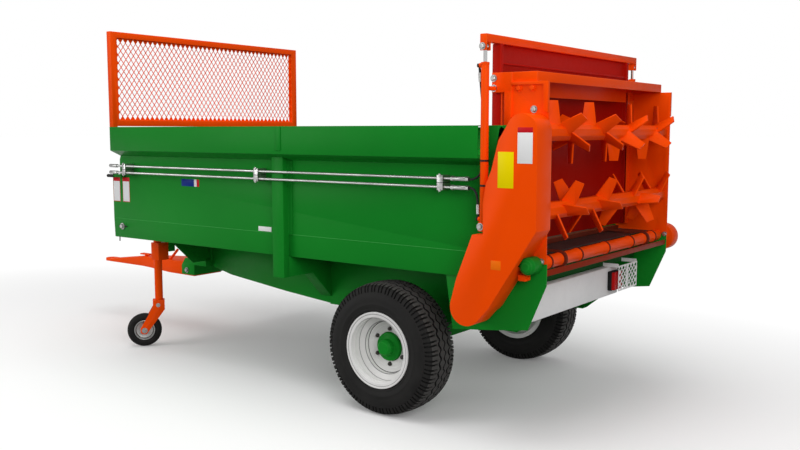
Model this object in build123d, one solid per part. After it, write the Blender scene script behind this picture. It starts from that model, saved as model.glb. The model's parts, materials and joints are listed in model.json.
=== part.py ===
from build123d import *
from math import atan2, cos, degrees, hypot, radians, sin, tan
import os

# Single-axle manure spreader with two horizontal rear beaters, parked on its jack wheel.
# All sizes are millimetres. +X is forward, +Y is the left side, +Z is up, z = 0 is the ground.
# While it is being built, x = 0 is the wheel axle; at the end every piece is moved along X
# by the same amount, so that the origin lies at the middle of the overall length.

# ---------------------------------------------------------------- driving dimensions
fit = 1.0                     # gap between pieces that only lie beside each other
running = 0.05                # radial clearance of a shaft in its bearing
move_gap = 8.0                # gap between a moving piece and what it passes

# wheels and axle
wheel_d = 760.0
tyre_w = 264.0
track = 1548.0                # between the tyres' centre planes
rim_flange_d = 436.0
rim_seat_d = 392.0
rim_w = 250.0                 # over the flanges
rim_t = 8.0
rim_well = 38.0               # depth of the well below the bead seats
disc_t = 10.0
disc_y = -9.0                 # inner face of the disc, outboard of the centre plane
stud_pcd = 205.0
stud_count = 6
stud_start = 30.0             # angle of the first stud, degrees
stud_r = 7.0
stud_end = 6.0                # stud beyond its nut
nut_r = 11.0
nut_h = 8.0                   # nut beyond the disc
nut_hole = 2.0                # gap round each nut in the disc
axle_beam = 80.0              # square section
axle_seat = 170.0             # length of the seats between the axle and the rails
spindle_r = 25.0
spindle_reach = 36.0
hub_r = 84.0
hub_flange_r = 126.0
hub_flange_t = 14.0
hub_reach = 68.0              # hub cap beyond the tyre's centre plane
hub_back = 70.0

# load box
wall_t = 5.0
box_half_w = 835.0            # outer face of the lower walls
foot_half_w = 830.0           # outer face of the folded-in foot of the walls
foot_z = 844.0
foot_flange = 45.0
fold_z = 981.0
step_z = 1300.0               # where the upper board starts
flare_low_z = 1432.0
flare_high_z = 1471.0
board_half_w = 930.0
box_top_z = 1636.0
top_lip = 40.0
wall_rear_x = -745.0          # the walls lap over the rear frame
wall_front_x = 2484.0         # front edge of the lower walls
board_front_x = 2370.0        # front edge of the upper boards
board_rear_x = -675.0
strip_front_x = 2396.0        # front edge of the upright strip below the boards
strip_top_z = 1405.0
tail_y = (884.0, 889.0)       # plate behind the end of each board
tail_line = ((-770.0, 1432.0), (-775.0, 1450.0), (-813.0, 1600.0), (-830.0, 1636.0))
headboard_set_back = 22.0     # headboard behind the boards' front edge
headboard_bulge = 70.0        # lower part of the headboard stands further forward
headboard_low = 22.0          # top of the headboard below the boards' top
floor_z = 970.5               # top of the floor
floor_t = 6.0
floor_edge = 30.0             # between the floor's turned-down edge and the wall
floor_rear_x = -890.0
floor_front_x = 2320.0

# frame and mesh on the headboard
fence_tube = 42.0
fence_post = 55.0             # width of the uprights along the headboard
fence_top_z = 2297.0
fence_foot = 6.0              # height of the feet on the boards' top lips
mesh_t = 3.0
mesh_pitch_y = 43.0
mesh_pitch_z = 56.0
mesh_strand = 4.5

# side pillars and chassis
pillar_x = 774.0
pillar_w = 92.0
pillar_depth = 50.0
pillar_flange = 30.0
pillar_foot_z = 718.0
outrigger_knee_y = 626.0      # where its lower edge starts down to the rail
outrigger_root_z = 540.0
rail_y = 450.0                # outer face of the chassis rails
rail_t = 8.0
rail_flange = 60.0
rail_bottom_z = 490.0
rail_front_x = 740.0
rail_rear_x = -740.0
rail_rear_low_z = 570.0       # the rails' lower edge rises to this at the rear
rail_rise = 100.0
bearer_w = 60.0
bearer_h = 22.0
bearer_xs = (-560.0, 120.0, 800.0, 1500.0, 2240.0)
tie_xs = (-300.0, 690.0)
tie_h = 80.0
nose_apex_x = 2400.0
nose_apex_y = 62.0
nose_line = ((0.0, 496.0), (530.0, 501.0), (1300.0, 522.0))   # lower edge along the plate
nose_front_low_z = 555.0
nose_t = 8.0
head_len = 110.0              # box that joins the nose plates
head_plate_x = (2430.0, 2442.0)
front_plate_x = (2300.0, 2308.0)
front_plate_line = ((270.0, 600.0), (455.0, 769.0))   # y, z along its lower edge
arm_y = 440.0                 # box that carries the jack's sleeve
arm_x = (2300.0, 2340.0)
arm_low_z = 710.0

# drawbar and the headstock that holds it
eye_x = 3722.0
eye_r = 25.0
eye_half_w = 48.0
eye_t = 25.0
drawbar_z = 478.0             # middle of the eye plate
drawbar_rear_x = 2444.0
drawbar_half_w = 140.0        # at its rear end
drawbar_rear_low_z = 463.0
drawbar_arch = (3066.0, 468.0)   # x, z of its lower edge between the ends
drawbar_taper_x = 2750.0
drawbar_neck_x = 3190.0
drawbar_neck_h = 85.0
drawbar_rear_h = 110.0
cheek_t = 12.0
cheek_front_x = 2582.0
cheek_top_z = 605.0
cheek_low_z = 473.0           # the drawbar shows below it

# parking jack
jack_x = 2367.0
jack_y = 548.0
jack_tube_r = 29.0
jack_tube_low_z = 350.0
jack_tube_high_z = 830.0
jack_sleeve_x = (2311.0, 2397.0)
jack_sleeve_y = (493.0, 584.0)
jack_sleeve_low_z = 651.0
jack_sleeve_high_z = 781.0
jack_pin_r = 12.0
jack_pin_len = 70.0
jack_wheel_d = 250.0
jack_wheel_w = 60.0
jack_rim_r = 75.0
jack_axle_r = 8.0
jack_trail = 110.0
jack_turn = 52.0              # parked angle of the caster, degrees
fork_t = 8.0
fork_w = 58.0                 # lower end of the fork's arms
fork_head_x = (-40.0, 46.0)   # from the swivel axis

# rear frame
rear_x = -1012.0              # rear face of the rear frame
post_front_x = -768.0         # front edge of the webs above the boards
web_rim = 12.0                # raised rims on the webs' outside
web_front_rim = 40.0
web_rear_rim = 27.0
web_top_rim = 15.0
web_y = 815.0                 # inner face of the side webs
web_t = 6.0
web_low_z = 950.0
hood_low_z = 1850.0
hood_top_z = 1900.0
bracket_x = (-808.0, -693.0)  # plates on the ends of the hood
bracket_y = 829.0
bracket_low_z = 1800.0
barrel_lug_x = (-719.0, -699.0)
barrel_lug_z = (1810.0, 1830.0)
hood_front_x = -752.0
hood_rear_x = -947.0
hood_t = 4.0
brace_x = -806.0
brace_low_z = 1785.0
brace_half_w = 600.0

# beaters
beater_x = -955.0
beater_high_z = 1600.0
beater_low_z = 1205.0
beater_flats = 84.0           # across the flats of the eight-sided tube
paddle_reach = 162.0          # from the axis to the paddle's tip
paddle_step = 70.0            # along the tube from one paddle to the next
upper_first = ((670.0, 0.0), (720.0, 0.0))      # y and angle of the first paddle, left and right
lower_first = ((722.0, 210.0), (749.0, 30.0))
paddle_count = 10             # on each half of a beater
paddle_angle = 60.0           # turn from one paddle to the next; the lower beater's is the other way
paddle_twist = 45.0
paddle_root_w = 86.0
paddle_tip_w = 52.0
paddle_t = 8.0
beater_shaft_r = 20.0
beater_end_gap = 12.0         # between the tube's end and the web
bearing_r = 44.0
bearing_t = 32.0

# door and its two cylinders
door_x = -706.0               # middle of the door sheet
door_t = 4.0
door_stile = 49.0
door_over_slats = 12.0
door_beam_h = 40.0
door_beam_d = 40.0
door_beam_half_w = 940.0
door_beam_top_z = 2085.0
guide_front_x = -667.0
guide_rear_x = -744.0
guide_t = 6.0
guide_w = 30.0
door_rib_z = (1945.0, 1955.0)
door_rib = 14.0
eye_lug_t = 6.0
eye_lug_low_z = 2003.0
rod_eye_r = 16.0
rod_eye_z = 2024.0
cylinder_y = 920.0
cylinder_x = -709.0
cylinder_r = 20.5
cylinder_bore_r = 16.0
rod_r = 9.5
barrel_low_z = 1150.0
barrel_high_z = 1947.0
gland_h = 20.0
cylinder_foot_h = 45.0
rod_low_z = 1200.0

# chain guard over the left side of the rear frame
guard_y = 970.0               # outer face
guard_t = 3.0
guard_top = (-946.0, 1607.0)  # x, z of the upper arc's centre
guard_top_r = 85.0
guard_foot = (-633.0, 709.0)  # x, z of the lower arc's centre
guard_foot_r = 93.0
guard_front = ((-818.0, 1564.0), (-779.0, 1415.0), (-748.0, 1345.0), (-731.0, 1248.0),
               (-734.0, 1094.0), (-671.0, 1089.0), (-577.0, 855.0))
guard_back = ((-769.0, 721.0), (-929.0, 969.0))
guard_knee_z = 1125.0         # where the rear edge turns forward

# conveyor
roller_x = -950.0
roller_z = 943.5
roller_r = 33.5
roller_shaft_r = 18.0
roller_ring = 5.0
roller_ring_ys = (-700.0, -350.0, 0.0, 350.0, 700.0)
cap_y = 925.0                 # outer end of the domed bearing cap
roller_stub = 8.0             # shaft beyond its bearings
conveyor_box_r = 84.0
conveyor_box_y = (876.0, 968.0)
conveyor_box_z = 925.0
idler_x = 2362.0
chain_y = 560.0
chain_w = 20.0
chain_t = 12.0
chain_r = 41.0                # middle of the chain around its sprockets
sprocket_t = 26.0
slat_h = 24.0
slat_w = 40.0
slat_half_len = 740.0
slat_pitch = 420.0

# rear skirts and lights panel
skirt_t = 6.0
skirt_top_z = 950.0
skirt_front_x = -410.0
skirt_line = ((-910.0, 603.0), (-717.0, 578.0), (-455.0, 550.0))
skirt_rear_low_z = 841.0
panel_x = -840.0
panel_low_z = 608.0
panel_high_z = 782.0
panel_t = 3.0
panel_lip = 30.0
cross_x = (-800.0, -740.0)
cross_low_z = 785.0
cross_top_z = 860.0
panel_right_y = -450.0
lamp_y = -360.0
lamp_w = 120.0
lamp_h = 118.0
lamp_d = 45.0
lamp_z = 699.0
lamp_guard_gap = 12.0
lamp_guard_y = (-610.0, -330.0)
lamp_guard_z = (637.0, 793.0)
lamp_strip_y = (-470.0, -450.0)
lamp_mesh_pitch = (50.0, 42.0)   # along y and z
lamp_mesh_strand = 6.0
lamp_arm_z = (783.0, 805.0)
lip_x = (-1006.0, -1000.0)    # strip below the conveyor's rear end
lip_z = (886.0, 916.0)

# drive line
drive_z = 711.0
drive_r = 20.0
drive_tube_r = 38.0
drive_tube_bore_r = 28.0
bush_len = 40.0
stub_r = 17.45
stub_len = 76.0
stub_front_x = 2590.0
gearbox_x = -620.0
gearbox_half = 80.0
cross_shaft_y = 930.0

# hydraulic pipes along the left side
pipe_r = 7.5
pipe_zs = (1363.0, 1317.0)
pipe_front_x = 2423.0
pipe_rear_x = -591.0
clamp_xs = (2254.0, 936.0, -431.0)
ferrule_r = 12.0
ferrule_len = 83.0
hose_r = 6.0
hose_collar = 6.0             # length of the straight collar at each pipe's end
port_r = 10.0
port_zs = (1165.0, 1932.0)
long_hose = ((-640.0, 895.5, 1368.0), (-675.0, 895.5, 1398.0), (-690.0, 897.0, 1450.0),
             (-690.0, 897.0, 1550.0), (-689.0, 897.0, 1640.0), (-683.0, 901.0, 1740.0),
             (-678.0, 910.0, 1840.0))      # points between its two ends
short_hose = ((-635.0, 899.5, 1311.0), (-671.5, 918.0, 1247.0))

pieces = {}


# ---------------------------------------------------------------- helpers
def block(x, y, z):
    """Box between the given pairs of limits."""
    size = (abs(x[1] - x[0]), abs(y[1] - y[0]), abs(z[1] - z[0]))
    return Pos((x[0] + x[1]) / 2, (y[0] + y[1]) / 2, (z[0] + z[1]) / 2) * Box(*size)


def round_x(r, x, y, z):
    return Pos((x[0] + x[1]) / 2, y, z) * Rot(0, 90, 0) * Cylinder(r, abs(x[1] - x[0]))


def round_y(r, x, y, z):
    return Pos(x, (y[0] + y[1]) / 2, z) * Rot(90, 0, 0) * Cylinder(r, abs(y[1] - y[0]))


def round_z(r, x, y, z):
    return Pos(x, y, (z[0] + z[1]) / 2) * Cylinder(r, abs(z[1] - z[0]))


def slab_xz(points, y):
    """Plate with an outline in x and z, between two y limits."""
    face = make_face(Polyline(*[(px, y[0], pz) for px, pz in points], close=True))
    return extrude(face, amount=y[1] - y[0], dir=(0, 1, 0))


def slab_yz(points, x):
    """Section in y and z, drawn out between two x limits."""
    face = make_face(Polyline(*[(x[0], py, pz) for py, pz in points], close=True))
    return extrude(face, amount=x[1] - x[0], dir=(1, 0, 0))


def slab_xy(points, z):
    """Plate with a plan in x and y, between two z limits."""
    face = make_face(Polyline(*[(px, py, z[0]) for px, py in points], close=True))
    return extrude(face, amount=z[1] - z[0], dir=(0, 0, 1))


def turned(rows):
    """Solid of revolution about the Y axis; the rows are (y, radius)."""
    face = make_face(Polyline(*[(0, py, pr) for py, pr in rows], close=True))
    return revolve(face, axis=Axis.Y)


def right_of(shape):
    return mirror(shape, about=Plane.XZ)


def both_sides(name, shape):
    pieces[name + "_left"] = shape
    pieces[name + "_right"] = right_of(shape)


def ring(count, radius, start):
    """Points (x, z) evenly spaced round a circle."""
    angles = [radians(start + 360.0 * n / count) for n in range(count)]
    return [(radius * cos(a), radius * sin(a)) for a in angles]


# ---------------------------------------------------------------- wheels and axle
wheel_z = wheel_d / 2
wheel_y = track / 2


def tyre():
    seat, edge, crown = rim_seat_d / 2, rim_flange_d / 2, wheel_d / 2
    bead = rim_w / 2 - rim_t - fit
    shoulder = tyre_w / 2 - 22
    bulge = (edge + crown) / 2
    side = [Polyline((0, bead, seat), (0, bead, edge + 4), (0, tyre_w / 2 - 4, edge + 20)),
            ThreePointArc((0, tyre_w / 2 - 4, edge + 20), (0, tyre_w / 2, bulge),
                          (0, shoulder, crown - 14))]
    other = [mirror(line, about=Plane.XZ) for line in side]
    tread = ThreePointArc((0, shoulder, crown - 14), (0, 0, crown), (0, -shoulder, crown - 14))
    inside = Polyline((0, bead, seat), (0, bead - 40, seat), (0, 50, seat + 60),
                      (0, -50, seat + 60), (0, -bead + 40, seat), (0, -bead, seat))
    return revolve(make_face(side + other + [tread, inside]), axis=Axis.Y)


def rim():
    half, seat, edge = rim_w / 2, rim_seat_d / 2, rim_flange_d / 2
    well = seat - rim_well
    outer = [(half, edge), (half - rim_t, edge), (half - rim_t, seat), (45, seat), (32, well)]
    inner = [(32 + rim_t / 2, well - rim_t), (45 + rim_t / 2, seat - rim_t), (half, seat - rim_t)]
    rows = outer + [(-y, r) for y, r in reversed(outer)]
    rows += [(-y, r) for y, r in reversed(inner)] + inner
    dish = disc_y + disc_t
    disc = turned([(disc_y, hub_r + fit), (dish, hub_r + fit), (dish, well - 34),
                   (dish + 12, well - rim_t - 6), (dish + 12, well - rim_t),
                   (dish, well - rim_t), (disc_y, well - 45)])
    for x, z in ring(stud_count, stud_pcd / 2, stud_start):
        disc -= round_y(nut_r + nut_hole, x, (disc_y - fit, dish + fit), z)
    return turned(rows) + disc


def hub():
    cap = hub_reach
    body = turned([(-hub_back, 0), (-hub_back, hub_r - 8), (disc_y - hub_flange_t, hub_r - 8),
                   (disc_y - hub_flange_t, hub_flange_r), (disc_y, hub_flange_r),
                   (disc_y, hub_r), (cap - 50, hub_r - 4), (cap - 46, 48), (cap - 12, 46),
                   (cap, 34), (cap, 0)])
    body -= round_y(spindle_r + running, 0, (-hub_back - fit, spindle_reach + 2), 0)
    nut_top = disc_y + disc_t + nut_h
    for x, z in ring(stud_count, stud_pcd / 2, stud_start):
        body += round_y(nut_r, x, (disc_y - fit, nut_top), z)
        body += round_y(stud_r, x, (disc_y - fit, nut_top + stud_end), z)
    return body


def axle():
    inner = wheel_y - hub_back - 5
    half = axle_beam / 2
    beam = block((-half, half), (-inner, inner), (wheel_z - half, wheel_z + half))
    beam += round_y(spindle_r, 0, (-wheel_y - spindle_reach, wheel_y + spindle_reach), wheel_z)
    for side in (1, -1):
        ys = (side * (rail_y - rail_flange), side * rail_y)
        beam += block((-axle_seat / 2, axle_seat / 2), ys, (wheel_z + half, rail_bottom_z))
    return beam


for side, y in (("left", wheel_y), ("right", -wheel_y)):
    place = Pos(0, y, wheel_z)
    for name, shape in (("tyre", tyre()), ("rim", rim()), ("hub", hub())):
        pieces[name + "_" + side] = place * (shape if y > 0 else right_of(shape))
pieces["axle"] = axle()


# ---------------------------------------------------------------- load box
flare = atan2(board_half_w - box_half_w, flare_high_z - flare_low_z)
bend = wall_t * tan(flare / 2)          # rise of the inner corner of each bend


def wall_out(z):
    """Outer y of the lower wall at a height between its foot and the upper board."""
    share = min(max((z - foot_z) / (fold_z - foot_z), 0), 1)
    return foot_half_w + share * (box_half_w - foot_half_w)


side_lower = slab_yz([(box_half_w, step_z), (box_half_w, fold_z), (foot_half_w, foot_z),
                      (foot_half_w - foot_flange, foot_z),
                      (foot_half_w - foot_flange, foot_z + wall_t),
                      (foot_half_w - wall_t + fit, foot_z + wall_t),
                      (box_half_w - wall_t, fold_z), (box_half_w - wall_t, step_z)],
                     (guide_front_x, wall_front_x))
lap_x = (wall_rear_x, guide_front_x)
side_lower += block(lap_x, (box_half_w - wall_t, box_half_w), (fold_z, step_z))
both_sides("side_lower", side_lower)

side_upper = slab_yz([(box_half_w, step_z), (box_half_w, flare_low_z),
                      (board_half_w, flare_high_z), (board_half_w, box_top_z),
                      (board_half_w - top_lip, box_top_z),
                      (board_half_w - top_lip, box_top_z - wall_t),
                      (board_half_w - wall_t, box_top_z - wall_t),
                      (board_half_w - wall_t, flare_high_z + bend),
                      (box_half_w - wall_t, flare_low_z + bend),
                      (box_half_w - wall_t, step_z)],
                     (board_rear_x, strip_front_x))
side_upper &= slab_xz([(board_rear_x, step_z), (strip_front_x, step_z), (strip_front_x, strip_top_z),
                       (board_front_x, flare_high_z), (board_front_x, box_top_z), (board_rear_x, box_top_z)],
                      (0, board_half_w))
side_upper += block((wall_rear_x, board_rear_x), (box_half_w - wall_t, box_half_w), (step_z, flare_low_z))
tail = slab_xz([(board_rear_x, tail_line[0][1])] + list(tail_line) + [(board_rear_x, box_top_z)], tail_y)
tail += block((wall_rear_x, board_rear_x), (box_half_w - wall_t, tail_y[1]), (flare_low_z, flare_low_z + wall_t))
both_sides("side_upper", side_upper + tail)

# floor: a sheet with edges turned down onto the feet of the side walls
edge_y = foot_half_w - floor_edge
floor_sheet = block((floor_rear_x, floor_front_x), (-edge_y, edge_y), (floor_z - floor_t, floor_z))
for side in (1, -1):
    floor_sheet += block((guide_front_x, floor_front_x), (side * edge_y, side * (edge_y - floor_t)),
                         (foot_z + wall_t, floor_z))
pieces["floor"] = floor_sheet

# headboard: lower part stands forward, folded back under the mesh frame
head_x = board_front_x - headboard_set_back
head_low_x = head_x + headboard_bulge
head_top_z = box_top_z - headboard_low
head_line = [(head_low_x, foot_z + wall_t), (head_low_x, step_z - 40),
             (head_x, flare_low_z), (head_x, head_top_z)]
headboard = slab_xz(head_line + [(x - wall_t, z) for x, z in reversed(head_line)],
                    (-board_half_w, board_half_w))
inner_y = box_half_w - wall_t - fit
upper_y = board_half_w - wall_t - fit
section = [(foot_half_w - foot_flange - fit, foot_z), (foot_half_w - foot_flange - fit, fold_z),
           (inner_y, fold_z), (inner_y, flare_low_z + bend), (upper_y, flare_high_z + bend),
           (upper_y, head_top_z)]
headboard &= slab_yz(section + [(-y, z) for y, z in reversed(section)],
                     (head_x - 2 * wall_t, head_low_x + wall_t))
pieces["headboard"] = headboard

# frame of square tube with diamond mesh, standing on the headboard
fence_x = (board_front_x - fence_tube, board_front_x)
fence_low_z = box_top_z + fence_foot
fence = block(fence_x, (-board_half_w, board_half_w), (fence_low_z, fence_top_z))
hole_y = board_half_w - fence_post
hole_z = (fence_low_z + fence_tube, fence_top_z - fence_tube)
fence -= block(fence_x, (-hole_y, hole_y), hole_z)
for side in (1, -1):
    fence += block(fence_x, (side * board_half_w, side * (board_half_w - top_lip)), (box_top_z, fence_low_z))
pieces["fence_frame"] = fence


def ring_of(points, x):
    return Wire.make_polygon([(x, py, pz) for py, pz in points], close=True)


def mesh(y, z, x, pitch_y, pitch_z, strand):
    """Sheet of diamonds between two y and two z limits, at two x limits."""
    columns = max(round((y[1] - y[0]) / pitch_y), 1)
    rows = max(round((z[1] - z[0]) / pitch_z), 1)
    wide, high = (y[1] - y[0]) / columns, (z[1] - z[0]) / rows
    half_y = wide / 2 - strand / 2 * hypot(1, wide / high)
    half_z = half_y * high / wide
    holes = []
    for row in range(2 * rows - 1):
        odd = row % 2
        for column in range(columns - odd):
            cy = y[0] + wide * (column + 0.5 + 0.5 * odd)
            cz = z[0] + high * (row + 1) / 2
            holes.append(ring_of([(cy - half_y, cz), (cy, cz - half_z),
                                  (cy + half_y, cz), (cy, cz + half_z)], x[0]))
    edge = ring_of([(y[0], z[0]), (y[1], z[0]), (y[1], z[1]), (y[0], z[1])], x[0])
    return extrude(Face(edge, holes), amount=x[1] - x[0], dir=(1, 0, 0))


fence_mid_x = (fence_x[0] + fence_x[1]) / 2
mesh_x = (fence_mid_x - mesh_t / 2, fence_mid_x + mesh_t / 2)
pieces["fence_mesh"] = mesh((-hole_y, hole_y), hole_z, mesh_x, mesh_pitch_y, mesh_pitch_z, mesh_strand)

# pillars: channels against the walls, carried by outriggers from the chassis
slope = (flare_high_z - flare_low_z) / (board_half_w - box_half_w)
pillar_xs = (pillar_x - pillar_w / 2, pillar_x + pillar_w / 2)


def pillar_section(inset):
    y = box_half_w + pillar_depth - inset
    return [(box_half_w, pillar_foot_z), (y, pillar_foot_z),
            (y, flare_low_z + slope * (y - box_half_w)), (box_half_w, flare_low_z)]


pillar = slab_yz(pillar_section(0), pillar_xs)
pillar -= slab_yz(pillar_section(wall_t), (pillar_xs[0] + wall_t, pillar_xs[1] - wall_t))
for side, x in ((-1, pillar_xs[0]), (1, pillar_xs[1])):
    pillar += block((x, x + side * pillar_flange), (box_half_w, box_half_w + wall_t), (fold_z, flare_low_z))
pieces["pillars"] = Compound([pillar, right_of(pillar)])


# ---------------------------------------------------------------- chassis
rail_top_z = foot_z + wall_t
rail_in = rail_y - rail_t
rail_lip = rail_y - rail_flange
rail = slab_yz([(rail_y, rail_bottom_z), (rail_y, rail_top_z), (rail_lip, rail_top_z),
                (rail_lip, rail_top_z - rail_t), (rail_in, rail_top_z - rail_t),
                (rail_in, rail_bottom_z + rail_t), (rail_lip, rail_bottom_z + rail_t),
                (rail_lip, rail_bottom_z)], (rail_rear_x, rail_front_x))
rail -= round_y(drive_r + move_gap, gearbox_x, (rail_lip, rail_y + fit), drive_z)
rail -= slab_xz([(rail_rear_x - fit, rail_bottom_z - fit), (rail_rear_x - fit, rail_rear_low_z),
                 (rail_rear_x + rail_rise, rail_bottom_z - fit)], (rail_lip, rail_y))
pieces["chassis_rails"] = Compound([rail, right_of(rail)])

bearers = [block((x - bearer_w / 2, x + bearer_w / 2),
                 (-foot_half_w + foot_flange + fit, foot_half_w - foot_flange - fit),
                 (rail_top_z, rail_top_z + bearer_h)) for x in bearer_xs]
pieces["floor_bearers"] = Compound(bearers)

ties = [block((x - tie_h / 2, x + tie_h / 2), (-rail_in, rail_in),
              (rail_bottom_z + rail_t, rail_bottom_z + rail_t + tie_h)) for x in tie_xs]
gearbox_seat = block((gearbox_x - 60, gearbox_x + 60), (-rail_in, rail_in), (drive_z - 110, drive_z - 80))
pieces["chassis_ties"] = Compound(ties + [gearbox_seat])

outrigger = slab_yz([(rail_y, outrigger_root_z), (rail_y, foot_z), (box_half_w, foot_z),
                     (box_half_w, pillar_foot_z), (outrigger_knee_y, pillar_foot_z)], pillar_xs)

# nose: two plates that run together from the rails to the headstock
nose_turn = degrees(atan2(rail_y - nose_apex_y, nose_apex_x - rail_front_x))
nose_len = hypot(nose_apex_x - head_len - rail_front_x,
                 (rail_y - nose_apex_y) * (1 - head_len / (nose_apex_x - rail_front_x)))
nose_plate = slab_xz(list(nose_line) + [(nose_len, nose_front_low_z), (nose_len, rail_top_z),
                      (520, rail_top_z), (250, rail_top_z - 190), (0, rail_top_z - 200)],
                     (-nose_t, 0))
nose = Pos(rail_front_x, rail_y, 0) * Rot(0, 0, -nose_turn) * nose_plate
nose &= block((rail_front_x + fit, nose_apex_x - head_len - fit), (0, rail_y + fit),
              (nose_line[0][1], rail_top_z))
both_sides("nose_plate", nose)

cheek_y = drawbar_half_w + cheek_t
head_rear_x = nose_apex_x - head_len
headstock = block((head_rear_x, head_plate_x[1]), (-cheek_y, cheek_y), (nose_front_low_z, cheek_top_z))
headstock += block(head_plate_x, (-cheek_y, cheek_y), (cheek_low_z, cheek_top_z))
headstock += block((head_rear_x, nose_apex_x), (-nose_apex_y - 30, nose_apex_y + 30), (cheek_top_z, rail_top_z))
headstock -= round_x(drive_tube_r + move_gap, (head_rear_x - fit, nose_apex_x + fit), 0, drive_z)
cheek = slab_xz([(head_plate_x[1], cheek_low_z), (cheek_front_x, cheek_low_z),
                 (cheek_front_x, cheek_top_z - 60), (cheek_front_x - 45, cheek_top_z),
                 (head_plate_x[1], cheek_top_z)], (drawbar_half_w, cheek_y))
pieces["headstock"] = headstock + cheek + right_of(cheek)

# front plates beside the headstock, and the box that carries the jack
plate_foot = (nose_apex_y + 30, front_plate_line[0][1])
front_plate = slab_yz([plate_foot] + list(front_plate_line) +
                      [(front_plate_line[1][0], rail_top_z), (nose_apex_y + 30, rail_top_z)], front_plate_x)
front_plate -= block(front_plate_x, (plate_foot[0], cheek_y), (plate_foot[1], cheek_top_z))
arm = block(arm_x, (arm_y, jack_sleeve_y[0]), (arm_low_z, rail_top_z))
pieces["outriggers"] = Compound([outrigger, right_of(outrigger), front_plate + arm, right_of(front_plate)])


# ---------------------------------------------------------------- drawbar
bottom_z = drawbar_z - eye_t / 2
side_view = slab_xz([(eye_x + eye_half_w, bottom_z), (eye_x + eye_half_w, bottom_z + eye_t),
                     (eye_x - 60, bottom_z + eye_t), (drawbar_neck_x, bottom_z + drawbar_neck_h),
                     (drawbar_rear_x, bottom_z + drawbar_rear_h), (drawbar_rear_x, drawbar_rear_low_z),
                     drawbar_arch, (eye_x - 60, bottom_z)],
                    (-drawbar_half_w, drawbar_half_w))
plan = slab_xy([(eye_x, eye_half_w), (drawbar_neck_x, eye_half_w + 14), (drawbar_taper_x, drawbar_half_w),
                (drawbar_rear_x, drawbar_half_w), (drawbar_rear_x, -drawbar_half_w),
                (drawbar_taper_x, -drawbar_half_w), (drawbar_neck_x, -eye_half_w - 14),
                (eye_x, -eye_half_w)], (drawbar_rear_low_z, bottom_z + drawbar_rear_h))
plan += round_z(eye_half_w, eye_x, 0, (bottom_z, bottom_z + drawbar_rear_h))
drawbar = side_view & plan
drawbar -= round_z(eye_r, eye_x, 0, (bottom_z - fit, bottom_z + drawbar_rear_h))
pieces["drawbar"] = drawbar


# ---------------------------------------------------------------- parking jack
sleeve = block(jack_sleeve_x, jack_sleeve_y, (jack_sleeve_low_z, jack_sleeve_high_z))
sleeve -= round_z(jack_tube_r, jack_x, jack_y, (jack_sleeve_low_z, jack_sleeve_high_z))
leg = round_z(jack_tube_r, jack_x, jack_y, (jack_tube_low_z, jack_tube_high_z))
leg -= round_z(jack_pin_r + running, jack_x, jack_y, (jack_tube_low_z, jack_tube_low_z + jack_pin_len + 2))
pieces["jack_leg"] = leg
pieces["jack_mount"] = sleeve


def fork():
    """Caster fork in its own frame: swivel axis at x = 0, wheel ahead of it along +X."""
    inside = jack_wheel_w / 2 + 6
    top_z = jack_tube_low_z - fit
    axle_z = jack_wheel_d / 2
    head = block(fork_head_x, (-inside - fork_t, inside + fork_t), (top_z - 12, top_z))
    pin = round_z(jack_pin_r, 0, 0, (top_z - 12, top_z + fit + jack_pin_len))
    solid = head + pin
    for side in (1, -1):
        solid += slab_xz([(fork_head_x[0], top_z), (fork_head_x[1], top_z), (fork_head_x[1], top_z - 50),
                          (jack_trail + fork_w / 2, axle_z + 14), (jack_trail + fork_w / 2, axle_z - 14),
                          (jack_trail + 14, axle_z - fork_w / 2), (jack_trail - 14, axle_z - fork_w / 2),
                          (fork_head_x[0], top_z - 70)], (side * inside, side * (inside + fork_t)))
    return solid + round_y(jack_axle_r, jack_trail, (-inside - fork_t - 10, inside + fork_t + 10), axle_z)


def jack_tyre():
    half, crown = jack_wheel_w / 2, jack_wheel_d / 2
    outline = [Polyline((0, -half + 6, jack_rim_r), (0, -half, jack_rim_r + 10), (0, -half, crown - 22)),
               ThreePointArc((0, -half, crown - 22), (0, 0, crown), (0, half, crown - 22)),
               Polyline((0, half, crown - 22), (0, half, jack_rim_r + 10), (0, half - 6, jack_rim_r),
                        (0, -half + 6, jack_rim_r))]
    return revolve(make_face(outline), axis=Axis.Y)


def jack_rim():
    half = jack_wheel_w / 2
    bore = jack_axle_r + running
    return turned([(-half, bore), (-half, 22), (-10, 24), (-10, jack_rim_r - 14),
                   (-half + 4, jack_rim_r - 8), (-half + 4, jack_rim_r),
                   (half - 4, jack_rim_r), (half - 4, jack_rim_r - 8),
                   (10, jack_rim_r - 14), (10, 24), (half, 22), (half, bore)])


caster = Pos(jack_x, jack_y, 0) * Rot(0, 0, jack_turn)
pieces["jack_fork"] = caster * fork()
pieces["jack_tyre"] = caster * Pos(jack_trail, 0, jack_wheel_d / 2) * jack_tyre()
pieces["jack_rim"] = caster * Pos(jack_trail, 0, jack_wheel_d / 2) * jack_rim()


# ---------------------------------------------------------------- rear frame
web_out = web_y + web_t


def side_frame(rim_low_z):
    """Web with raised rims on its outside; the rear rim starts at the given height."""
    web = block((guide_front_x, rear_x), (web_y, web_out), (web_low_z, box_top_z))
    web += block((post_front_x, rear_x), (web_y, web_out), (box_top_z, hood_low_z))
    rim_y = (web_out, web_out + web_rim)
    front = block((post_front_x - web_front_rim, post_front_x), rim_y, (box_top_z, bracket_low_z))
    rear = block((rear_x, rear_x + web_rear_rim), rim_y, (rim_low_z, hood_low_z))
    top = block((rear_x, bracket_x[0]), rim_y, (hood_low_z - web_top_rim, hood_low_z))
    frame = web + front + rear + top
    for z in (beater_high_z, beater_low_z):
        frame -= round_y(beater_shaft_r + move_gap, beater_x, (web_y - fit, web_out + fit), z)
    return frame - round_y(roller_shaft_r, roller_x, (web_y - fit, web_out + fit), roller_z)


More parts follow.
